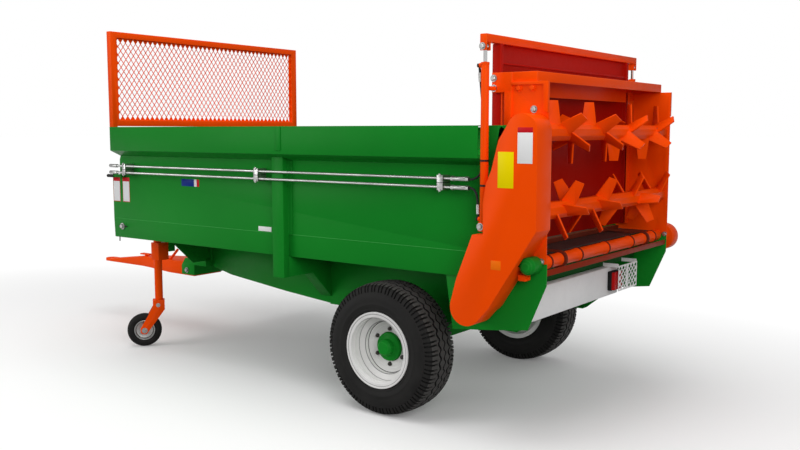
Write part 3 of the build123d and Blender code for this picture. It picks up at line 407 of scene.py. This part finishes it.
def addRing(mesh, centre, axis, inner, outer, width, steps=32):
    way = Vector(axis).normalized()
    side = way.orthogonal().normalized()
    corners = [mesh.verts.new(centre + side * radius + way * along) for radius, along in
               ((inner, -width / 2), (outer, -width / 2), (outer, width / 2), (inner, width / 2))]
    edges = [mesh.edges.new((corners[n], corners[(n + 1) % 4])) for n in range(4)]
    bmesh.ops.spin(mesh, geom=corners + edges, cent=centre, axis=way, angle=2 * pi, steps=steps,
                   use_merge=True)


boltForm = {"sunk": 0.001, "washer": 0.12, "head": 0.42, "crown": 0.5,    # heights as shares of the size
            "washerRadius": 0.7, "headRadius": 0.5, "crownRadius": 0.4}


def addBolt(mesh, seat, direction, size):    # hexagon head on a washer, size over the corners
    way = Vector(direction).normalized()
    washer, head, crown = [seat + way * size * boltForm[part] for part in ("washer", "head", "crown")]
    headRadius = size * boltForm["headRadius"]
    addRod(mesh, seat - way * boltForm["sunk"], washer, size * boltForm["washerRadius"], 20)
    addRod(mesh, washer, head, headRadius, 6)
    addRod(mesh, head, crown, headRadius, 6, size * boltForm["crownRadius"])


def addMirrored(mesh, rods=(), blocks=()):    # the same rods and blocks on both sides
    for side in (1, -1):
        for (x0, y0, z0), (x1, y1, z1), radius, segments in rods:
            addRod(mesh, fromAxle(x0, side * y0, z0), fromAxle(x1, side * y1, z1), radius, segments)
        for (x0, y0, z0), (x1, y1, z1), ease in blocks:
            addBlock(mesh, fromAxle(x0, side * y0, z0), fromAxle(x1, side * y1, z1), ease)


def finished(mesh, name, slot, body, material=None, angle=32):
    bmesh.ops.recalc_face_normals(mesh, faces=mesh.faces)
    piece = shown(mesh, name, slot, body, material)
    smoothFaces(piece, angle)
    return piece


# ---- fasteners --------------------------------------------------------------------------------

bolts = {    # place from the axle, direction, size over the corners
    "frame": [
        ((-0.704, 0.829, 1.872), (0, 1, 0), 0.026), ((-0.705, 0.829, 1.822), (0, 1, 0), 0.026),
        ((-0.931, 0.821, 1.714), (0, 1, 0), 0.026), ((2.386, 0.835, 0.926), (0, 1, 0), 0.034),
        ((-0.700, 0.9405, 1.128), (0, 1, 0), 0.028), ((-0.985, 0.821, 0.962), (0, 1, 0), 0.024),
        ((2.519, 0.152, 0.508), (0, 1, 0), 0.03)],
    "painted": [((-0.846, 0.821, 1.818), (0, 1, 0), 0.026), ((-0.922, 0.821, 1.818), (0, 1, 0), 0.026)],
    "door": [((-0.704, 0.940, 2.024), (0, 1, 0), 0.026)],
    "lip": [((-1.0, -0.809, 0.952), (0, 1, 0), 0.022)],
    "cap": [((-0.932, 0.862, 0.880), (-1, 0, 0), 0.022)],
    "beater": [((-0.996, -0.24, 1.616), (-1, 0, 0.3), 0.02), ((-0.996, -0.655, 1.616), (-1, 0, 0.3), 0.02)],
}


def boltSet(name, rows, slot, body, sides=(1, -1)):    # sides (1,) keeps each row as it is
    mesh = bmesh.new()
    for (x, y, z), (dx, dy, dz), size in rows:
        for side in sides:
            addBolt(mesh, fromAxle(x, side * y, z), (dx, side * dy, dz), size)
    finished(mesh, name, slot, body)


boltSet("frameBolts", bolts["frame"], "zinc", "root")
boltSet("paintedBolts", bolts["painted"], "orange_paint", "root")
boltSet("doorPins", bolts["door"], "zinc", "tail_door")
boltSet("lipBolts", bolts["lip"], "zinc", "root", (1,))
boltSet("capBolt", bolts["cap"], "orange_paint", "root", (1,))
boltSet("beaterBolts", bolts["beater"], "zinc", "upper_beater", (1,))
clamps = {"x": (2.254, 0.936, -0.431), "boltZ": (1.378, 1.302), "boltSize": 0.013,
          "splitHalf": 0.0183, "splitZ": (1.3385, 1.3415), "innerY": 0.836, "proud": 0.0003}
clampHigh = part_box("pipe_clamps")[1]
mesh = bmesh.new()
for x in clamps["x"]:
    for z in clamps["boltZ"]:
        addBolt(mesh, fromAxle(x, clampHigh.y, z), (0, 1, 0), clamps["boltSize"])
finished(mesh, "clampBolts", "zinc", "root")
mesh = bmesh.new()
for x in clamps["x"]:    # joint between the two halves of each clamp
    addBlock(mesh, fromAxle(x - clamps["splitHalf"], clamps["innerY"], clamps["splitZ"][0]),
             fromAxle(x + clamps["splitHalf"], clampHigh.y + clamps["proud"], clamps["splitZ"][1]))
finished(mesh, "clampSplits", "hose_rubber", "root", extras["blackAndShade"])
capLug = {"low": (-0.932, 0.832, 0.864), "high": (-0.888, 0.884, 0.896), "easing": 0.004}
mesh = bmesh.new()
addBlock(mesh, fromAxle(*capLug["low"]), fromAxle(*capLug["high"]), capLug["easing"])
finished(mesh, "capLug", "orange_paint", "root")
print("fasteners made")


# ---- blank plates and coloured strips ---------------------------------------------------------

plates = [  # name, material, low and high corner from the axle
    ("guardYellowPlate", "plateYellow", (-0.9045, 0.9690, 1.330), (-0.8165, 0.97, 1.507)),
    ("guardWhitePlate", "plateWhite", (-1.007, 0.9690, 1.452), (-0.925, 0.97, 1.600)),
    ("guardPlateHead", "plateRed", (-1.007, 0.9690, 1.600), (-0.925, 0.97, 1.625)),
    ("guardPad", "padOrange", (-0.839, 0.9690, 0.922), (-0.782, 0.97, 0.968)),
    ("wallPlateFrontBack", "plateRed", (2.400, 0.8348, 1.103), (2.480, 0.8355, 1.279)),
    ("wallPlateFront", "plateWhite", (2.404, 0.8350, 1.107), (2.476, 0.8359, 1.250)),
    ("wallPlateRearBack", "plateRed", (2.291, 0.8348, 1.103), (2.371, 0.8355, 1.279)),
    ("wallPlateRear", "plateWhite", (2.295, 0.8350, 1.107), (2.367, 0.8359, 1.250)),
    ("wallSmallPlate", "plateWhite", (0.880, 0.8348, 0.986), (0.994, 0.8355, 1.015)),
    ("stripBlue", "plateBlue", (1.596, 0.8348, 1.240), (1.724, 0.8355, 1.288)),
    ("stripWhite", "plateWhite", (1.570, 0.8348, 1.240), (1.596, 0.8355, 1.288)),
    ("stripRed", "plateRed", (1.545, 0.8348, 1.240), (1.570, 0.8355, 1.288)),
]
plateEasing = 0.0002
for name, material, low, high in plates:
    mesh = bmesh.new()
    addBlock(mesh, fromAxle(*low), fromAxle(*high), plateEasing)
    finished(mesh, name, "panel_white", "root", extras[material])
tailPlate = {    # what shows of it beside the guard
    "y": 0.8896, "thickness": 0.0012,
    "line": ((-0.763, 1.543), (-0.789, 1.556), (-0.805, 1.618), (-0.786, 1.630), (-0.776, 1.618))}
mesh = bmesh.new()
corners = [mesh.verts.new(fromAxle(x, tailPlate["y"], z)) for x, z in tailPlate["line"]]
bmesh.ops.solidify(mesh, geom=[mesh.faces.new(corners)], thickness=tailPlate["thickness"])
finished(mesh, "tailYellowPlate", "panel_white", "root", extras["plateYellow"])
print("plates made")


# ---- side wall trim ---------------------------------------------------------------------------

wallTrim = [  # name, slot, material, rods (start, end, radius, segments), blocks (low, high, easing)
    # the crease bead's lighter green is a painted highlight
    ("wallCrease", "green_paint", "creaseHighlightGreen",
     [((-0.744, 0.8345, 0.981), (2.483, 0.8345, 0.981), 0.0017, 8)], []),
    ("boardRibs", "green_paint", None,
     [((2.341, 0.860, 1.288), (2.430, 0.860, 1.288), 0.009, 16)],
     [((0.697, 0.929, 1.492), (0.739, 0.935, 1.634), 0.0015),
      ((2.338, 0.834, 1.280), (2.352, 0.866, 1.296), 0.001)]),
    ("wallEnds", "hose_rubber", "blackAndShade",
     [((2.430, 0.860, 1.288), (2.506, 0.860, 1.288), 0.0115, 16),
      ((2.450, 0.815, 0.850), (2.452, 0.815, 0.812), 0.004, 10)],
     # these two thin dark blocks are slots: painted shade
     [((2.336, 0.8345, 0.921), (2.431, 0.8362, 0.931), 0.0004),
      ((-0.724, 0.9395, 1.119), (-0.690, 0.9408, 1.137), 0.0002)]),
]
for name, slot, material, rods, blocks in wallTrim:
    mesh = bmesh.new()
    addMirrored(mesh, rods, blocks)
    finished(mesh, name, slot, "root", extras.get(material))
print("wall trim made")


# ---- hose ends, ties and the lift cylinders' heads --------------------------------------------

barrel = {"x": -0.709, "y": 0.920, "radius": 0.0205,
          "tieZ": (1.335, 1.460), "tieWidth": 0.009, "tieIn": 0.001, "tieOut": 0.003,
          "portZ": (1.165, 1.932), "portX": (-0.690, -0.679), "portRadius": 0.0125,
          "headZ": 1.940, "headInner": 0.012, "headWidth": 0.012, "headProud": 0.0012}
pipeEnds = {"y": 0.8955, "z": (1.317, 1.363),
            "nuts": [(-0.585, -0.603, 0.0135), (-0.497, -0.512, 0.0145)]}    # start and end x, radius
ferrules = [((-0.6768, 0.9168, 1.897), (-0.6776, 0.9113, 1.852), 0.0095, 16),
            ((-0.6770, 0.9227, 1.190), (-0.6735, 0.9200, 1.238), 0.0095, 16)]
nuts = [((start, pipeEnds["y"], z), (end, pipeEnds["y"], z), radius, 6)
        for z in pipeEnds["z"] for start, end, radius in pipeEnds["nuts"]]
mesh = bmesh.new()
addMirrored(mesh, ferrules + nuts)
finished(mesh, "hoseFerrules", "zinc", "root")


def addBarrelRing(mesh, side, z, inner, outer, width):
    addRing(mesh, fromAxle(barrel["x"], side * barrel["y"], z), (0, 0, 1), inner, outer, width)


mesh = bmesh.new()
for side in (1, -1):
    for z in barrel["tieZ"]:
        addBarrelRing(mesh, side, z, barrel["radius"] - barrel["tieIn"], barrel["radius"] + barrel["tieOut"],
                      barrel["tieWidth"])
finished(mesh, "barrelTies", "hose_rubber", "root")
mesh = bmesh.new()
addMirrored(mesh, [((barrel["portX"][0], barrel["y"], z), (barrel["portX"][1], barrel["y"], z),
                    barrel["portRadius"], 16) for z in barrel["portZ"]])
for side in (1, -1):
    addBarrelRing(mesh, side, barrel["headZ"], barrel["headInner"], barrel["radius"] + barrel["headProud"],
                  barrel["headWidth"])
finished(mesh, "portBosses", "orange_paint", "root")
print("hose ends and ties made")


# ---- tyres ------------------------------------------------------------------------------------

tread = {
    "pitches": 44,
    "columns": (0.11, 0.15, 0.27, 0.31, 0.53, 0.57, 0.69, 0.73),    # places of the columns in one pitch
    "slotColumns": (1, 2, 5, 6),
    "slotShares": ((0.15, 0.27), (0.57, 0.69)),    # stretches of one pitch that are slot
    "slotFrom": 0.061,    # slots start this far from the middle plane
    "slotTo": 0.048,    # and run down the shoulder to this depth below the crown
    "slotDepth": 0.012,
    "flank": 0.03,    # below this depth a slot is half as deep
    "slant": (0.02, 0.003, 0.007),    # depth where the slots' slant changes, slant above and below it
    "zigzag": 0.007,
    "middleGroove": 0.0057,
    "sideGroove": (0.034, 0.049),
    "ribsEnd": 0.054,
    "landDepth": 0.012,
    "grooveDepth": (0.006, 0.02),
    # slot and groove faces get the black material: painted shade
    "darkFrom": 0.0605,    # a slot's faces are dark from here
    "darkTo": 0.05,    # and down to this depth
    "profile": [  # distance from the middle plane, depth below the crown
        (0.0, 0.013), (0.0035, 0.013), (0.0055, 0.0), (0.020, 0.0004), (0.0345, 0.0010), (0.0370, 0.013),
        (0.0460, 0.013), (0.0485, 0.0018), (0.0600, 0.0028), (0.0620, 0.0030), (0.078, 0.0048),
        (0.080, 0.0052), (0.094, 0.0078), (0.104, 0.0112), (0.111, 0.0165), (0.1155, 0.025), (0.1185, 0.036),
        (0.1200, 0.044), (0.1210, 0.050), (0.1235, 0.053), (0.1280, 0.064), (0.1312, 0.080), (0.1318, 0.096),
        (0.1302, 0.114), (0.1312, 0.117), (0.1304, 0.121), (0.1270, 0.134), (0.1235, 0.143), (0.1245, 0.146),
        (0.1215, 0.153), (0.1170, 0.160), (0.1150, 0.168), (0.1150, 0.1835), (0.0760, 0.1835),
        (0.0500, 0.124)],
}


def spunProfile(mesh, centre, crown, steps):
    half = tread["profile"]
    rows = [(-y, depth) for y, depth in reversed(half[1:])] + half
    loop = [mesh.verts.new(centre + Vector((crown - depth, y, 0))) for y, depth in rows]
    edges = [mesh.edges.new((loop[n], loop[(n + 1) % len(loop)])) for n in range(len(loop))]
    bmesh.ops.spin(mesh, geom=loop + edges, cent=centre, axis=(0, 1, 0), angle=2 * pi, steps=steps,
                   use_merge=True)


def cutTread(mesh, centre, crown, steps):
    columns = tread["columns"]
    slantDepth, slantAbove, slantBelow = tread["slant"]
    for vert in mesh.verts:
        place = vert.co - centre
        radius, across = hypot(place.x, place.z), place.y
        turn = round(atan2(place.z, place.x) / (2 * pi) * steps) % steps
        pitch, column = divmod(turn, len(columns))
        depth = crown - radius
        inSlot = abs(across) > tread["slotFrom"] and depth < tread["slotTo"]
        if column in tread["slotColumns"] and inSlot:
            radius -= tread["slotDepth"] * (1.0 if depth < tread["flank"] else 0.5)
            across -= (slantAbove if depth < slantDepth else slantBelow) * (1 if across > 0 else -1)
        nearMiddle = abs(across) < tread["middleGroove"]
        if nearMiddle or tread["sideGroove"][0] < abs(across) < tread["sideGroove"][1]:
            flip = -1 if nearMiddle else 1
            across += flip * tread["zigzag"] * (-1 if column < len(columns) / 2 else 1)
        angle = 2 * pi * (pitch + columns[column]) / tread["pitches"]
        vert.co = centre + Vector((radius * cos(angle), across, radius * sin(angle)))


def markTread(mesh, centre, crown):    # dark grooves and slots are painted shade, the paler running faces a painted highlight
    layer = mesh.faces.layers.float.new("edge")
    for face in mesh.faces:
        spot = face.calc_center_median() - centre
        depth = crown - hypot(spot.x, spot.z)
        share = atan2(spot.z, spot.x) / (2 * pi) * tread["pitches"] % 1
        between = any(low < share < high for low, high in tread["slotShares"])
        inSlot = between and abs(spot.y) > tread["darkFrom"] and depth < tread["darkTo"]
        deep = tread["grooveDepth"][0] < depth < tread["grooveDepth"][1]
        inGroove = deep and abs(spot.y) < tread["ribsEnd"]
        if inSlot or inGroove:
            face.material_index = 1
        elif depth < tread["landDepth"]:
            face[layer] = 1.0


def treadedTyre(side):
    low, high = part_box("tyre_" + side)
    crown = (high.x - low.x) / 2
    centre = Vector(((low.x + high.x) / 2, (low.y + high.y) / 2, crown))
    steps = tread["pitches"] * len(tread["columns"])
    mesh = bmesh.new()
    spunProfile(mesh, centre, crown, steps)
    cutTread(mesh, centre, crown, steps)
    markTread(mesh, centre, crown)
    piece = finished(mesh, "treadedTyre" + side.capitalize(), "tyre_rubber", "wheel_" + side, None, 28)
    piece.data.materials.append(extras["blackAndShade"])
    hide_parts("tyre_" + side)


for side in ("left", "right"):
    treadedTyre(side)
wheelTrim = {
    "hubZ": 0.38, "discEdge": (0.1462, 0.1502), "discEdgeY": 0.7872, "discEdgeWidth": 0.0012,
    "valveReach": 0.131, "valveTurn": 200, "valveRadius": 0.0045, "valveIn": 0.014, "valveOut": 0.018,
    "ringSteps": 96,
    # the step rings are painted shade at the rim's steps and slope
    "steps": [  # distance outboard of the tyre's middle plane, inner and outer radius, width
        (0.1251, 0.2040, 0.2065, 0.0008), (0.0500, 0.1862, 0.1882, 0.0040), (0.0370, 0.1500, 0.1540, 0.0030)],
    "humps": [(0.1245, 0.2090, 0.2175, 0.0060), (0.0880, 0.1840, 0.1882, 0.0140)],
}
for side, sign in (("left", 1), ("right", -1)):
    wheelCentre = fromAxle(0, sign * wheelTrim["discEdgeY"], wheelTrim["hubZ"])
    mesh = bmesh.new()
    # the black ring where the disc meets the rim is painted shade; the valve is black rubber
    addRing(mesh, wheelCentre, (0, 1, 0), *wheelTrim["discEdge"], wheelTrim["discEdgeWidth"],
            wheelTrim["ringSteps"])
    turn = radians(wheelTrim["valveTurn"])
    valve = wheelCentre + Vector((cos(turn), 0, sin(turn))) * wheelTrim["valveReach"]
    addRod(mesh, valve - Vector((0, sign * wheelTrim["valveIn"], 0)),
           valve + Vector((0, sign * wheelTrim["valveOut"], 0)), wheelTrim["valveRadius"], 12)
    finished(mesh, "wheelTrim" + side.capitalize(), "tyre_rubber", "wheel_" + side, extras["blackAndShade"])
    middle = sum(corner.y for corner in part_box("tyre_" + side)) / 2
    for kind, look in (("steps", extras["stepShadeGrey"]), ("humps", finishes["white_paint"])):
        mesh = bmesh.new()
        for out, inner, outer, width in wheelTrim[kind]:
            seat = fromAxle(0, middle + sign * out, wheelTrim["hubZ"])
            addRing(mesh, seat, (0, 1, 0), inner, outer, width, wheelTrim["ringSteps"])
        finished(mesh, "rim" + kind.capitalize() + side.capitalize(), "white_paint", "wheel_" + side, look)
print("tyres made")


# ---- lamp, roller bands, jack and drawbar fittings --------------------------------------------

lamp = {
    "housingFrom": 0.35,    # share of the depth where the housing starts
    "lensTo": 0.4,    # share of the depth where the lenses end
    "lenses": [(0.0, 0.34), (0.36, 0.34), (0.7, 0.3)],    # start and width as shares of the lamp's width
    "sideGap": 0.003,
    "endGap": 0.005,
    "housingEasing": 0.005,
    "lensEasing": 0.003,
}
lampLow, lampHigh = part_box("lamps")
lampDepth, lampWidth = lampHigh.x - lampLow.x, lampHigh.y - lampLow.y
mesh = bmesh.new()
addBlock(mesh, Vector((lampLow.x + lamp["housingFrom"] * lampDepth, lampLow.y, lampLow.z)), lampHigh,
         lamp["housingEasing"])
finished(mesh, "lampHousing", "lamp_red", "root", extras["blackAndShade"])
mesh = bmesh.new()
for start, wide in lamp["lenses"]:
    addBlock(mesh, Vector((lampLow.x, lampLow.y + start * lampWidth + lamp["sideGap"],
                           lampLow.z + lamp["endGap"])),
             Vector((lampLow.x + lamp["lensTo"] * lampDepth, lampLow.y + (start + wide) * lampWidth,
                     lampHigh.z - lamp["endGap"])), lamp["lensEasing"])
lens = finished(mesh, "lampLens", "lamp_red", "root")
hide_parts("lamps")

bands = {"x": -0.95, "y": (-0.7, -0.35, 0.0, 0.35, 0.7), "z": 0.9435,
         "radii": (0.036, 0.0392), "width": 0.0106}
mesh = bmesh.new()
for y in bands["y"]:
    addRing(mesh, fromAxle(bands["x"], y, bands["z"]), (0, 1, 0), *bands["radii"], bands["width"])
finished(mesh, "rollerBands", "dark_steel", "root", extras["bandBrown"])

jack = {"x": 2.367, "y": 0.548, "turn": 52.0, "trail": 0.110, "axleZ": 0.125,
        "forkHalf": 0.044, "headZ": 0.313, "headAhead": 0.008, "hubBolt": 0.03, "headBolt": 0.022}
ahead = Vector((cos(radians(jack["turn"])), sin(radians(jack["turn"])), 0))
aside = Vector((-sin(radians(jack["turn"])), cos(radians(jack["turn"])), 0))
swivel = fromAxle(jack["x"], jack["y"], 0)
hubSpot = swivel + ahead * jack["trail"] + Vector((0, 0, jack["axleZ"]))
headSpot = swivel + ahead * jack["headAhead"] + Vector((0, 0, jack["headZ"]))
mesh = bmesh.new()
for side in (1, -1):
    out = aside * side
    addBolt(mesh, hubSpot + out * jack["forkHalf"], out, jack["hubBolt"])
    addBolt(mesh, headSpot + out * jack["forkHalf"], out, jack["headBolt"])
finished(mesh, "jackBolts", "zinc", "jack_caster")
drawbarRods = [
    ((3.185, 0.03, 0.535), (3.185, 0.03, 0.566), 0.016, 24),    # post of the T
    ((2.690, 0.1, 0.652), (2.844, 0.1, 0.512), 0.013, 4)]    # slanting bar
drawbarBlocks = [
    ((3.125, 0.008, 0.562), (3.248, 0.052, 0.573), 0.003),    # plate of the T
    ((2.800, 0.086, 0.500), (2.880, 0.114, 0.575), 0.003)]    # block at the bar's foot
mesh = bmesh.new()
for start, end, radius, segments in drawbarRods:
    addRod(mesh, fromAxle(*start), fromAxle(*end), radius, segments)
for low, high, ease in drawbarBlocks:
    addBlock(mesh, fromAxle(*low), fromAxle(*high), ease)
finished(mesh, "drawbarFittings", "orange_paint", "root")
print("small fittings made")


# ---- camera, floor and light ------------------------------------------------------------------

studio = {
    "cameraPlace": (axleX - 3.064, 4.753, 1.607),
    "cameraYaw": -53.05,
    "cameraPitch": -6.0,
    "lens": 40.19,
    "floorSize": 400.0,
    "worldLight": 0.42,
    "lamps": [  # place, aim, size, watts
        ((-0.5, 1.0, 6.5), (0, 0, 0.6), 5.0, 215),
        ((-6.5, 4.5, 3.4), (-0.4, 0, 1.0), 4.0, 190),
        ((4.5, 6.5, 3.0), (0.5, 0, 0.9), 4.0, 190),
    ],
    "nearWhite": (1.5, 3.4),    # the floor turns white between these distances from the middle
    "lengthShare": 0.6,    # x counts this much in them, because the object is longer than it is wide
    "floorGlow": (0.08, 1.0),    # near and far
    "floorTone": (0.5, 0.9),    # as other rays and as the camera see it
    "floorRoughness": 0.9,
    "floorSpecular": 0.1,
}


def aimed(data, name, place, direction):
    thing = bpy.data.objects.new(name, data)
    thing.location = place
    thing.rotation_euler = direction.to_track_quat("-Z", "Y").to_euler()
    bpy.context.scene.collection.objects.link(thing)
    return thing


yaw, pitch = radians(studio["cameraYaw"]), radians(studio["cameraPitch"])
camera = bpy.data.cameras.new("camera")
camera.lens = studio["lens"]
camera.sensor_width = 36.0
looking = Vector((cos(yaw) * cos(pitch), sin(yaw) * cos(pitch), sin(pitch)))
bpy.context.scene.camera = aimed(camera, "camera", studio["cameraPlace"], looking)

for number, (place, aim, size, watts) in enumerate(studio["lamps"]):
    light = bpy.data.lights.new("softbox%d" % number, "AREA")
    light.shape = "SQUARE"
    light.size = size
    light.energy = watts
    aimed(light, light.name, place, Vector(aim) - Vector(place))

world = bpy.data.worlds.new("studio")
bpy.context.scene.world = world
world.use_nodes = True
sky = world.node_tree
background = sky.nodes["Background"]
background.inputs["Color"].default_value = (1, 1, 1, 1)
rays = sky.nodes.new("ShaderNodeLightPath")
seen = sky.nodes.new("ShaderNodeMapRange")
seen.inputs["To Min"].default_value = studio["worldLight"]
seen.inputs["To Max"].default_value = 1.0
sky.links.new(rays.outputs["Is Camera Ray"], seen.inputs["Value"])
sky.links.new(seen.outputs["Result"], background.inputs["Strength"])

floorMesh = bmesh.new()
bmesh.ops.create_grid(floorMesh, x_segments=1, y_segments=1, size=studio["floorSize"] / 2)
floorData = bpy.data.meshes.new("studioFloor")
floorMesh.to_mesh(floorData)
floorMesh.free()
studioFloor = bpy.data.objects.new("studioFloor", floorData)
bpy.context.scene.collection.objects.link(studioFloor)
floorPaint, tree, shader, place = startMaterial("floorPaint")
shader.inputs["Roughness"].default_value = studio["floorRoughness"]
shader.inputs["Specular IOR Level"].default_value = studio["floorSpecular"]
shader.inputs["Emission Color"].default_value = (1, 1, 1, 1)
squeezed = tree.nodes.new("ShaderNodeVectorMath")
squeezed.operation = "MULTIPLY"
squeezed.inputs[1].default_value = (studio["lengthShare"], 1.0, 1.0)
tree.links.new(place, squeezed.inputs[0])
reach = tree.nodes.new("ShaderNodeVectorMath")
reach.operation = "LENGTH"
tree.links.new(squeezed.outputs["Vector"], reach.inputs[0])
far = spread(tree, reach.outputs["Value"], 0.0, 1.0, *studio["nearWhite"])
floorRays = tree.nodes.new("ShaderNodeLightPath")
seenBy = mathOf(tree, "MAXIMUM", floorRays.outputs["Is Camera Ray"], floorRays.outputs["Is Glossy Ray"])
lift = spread(tree, far, *studio["floorGlow"], 0.0, 1.0)
tree.links.new(mathOf(tree, "MULTIPLY", lift, seenBy), shader.inputs["Emission Strength"])
dull, bright = [(tone,) * 3 for tone in studio["floorTone"]]
near = mixed(tree, floorRays.outputs["Is Camera Ray"], dull, bright)
tree.links.new(mixed(tree, far, near, (0.0, 0.0, 0.0)), shader.inputs["Base Color"])
floorData.materials.append(floorPaint)
bpy.context.scene.view_settings.view_transform = "Standard"
print("studio ready")
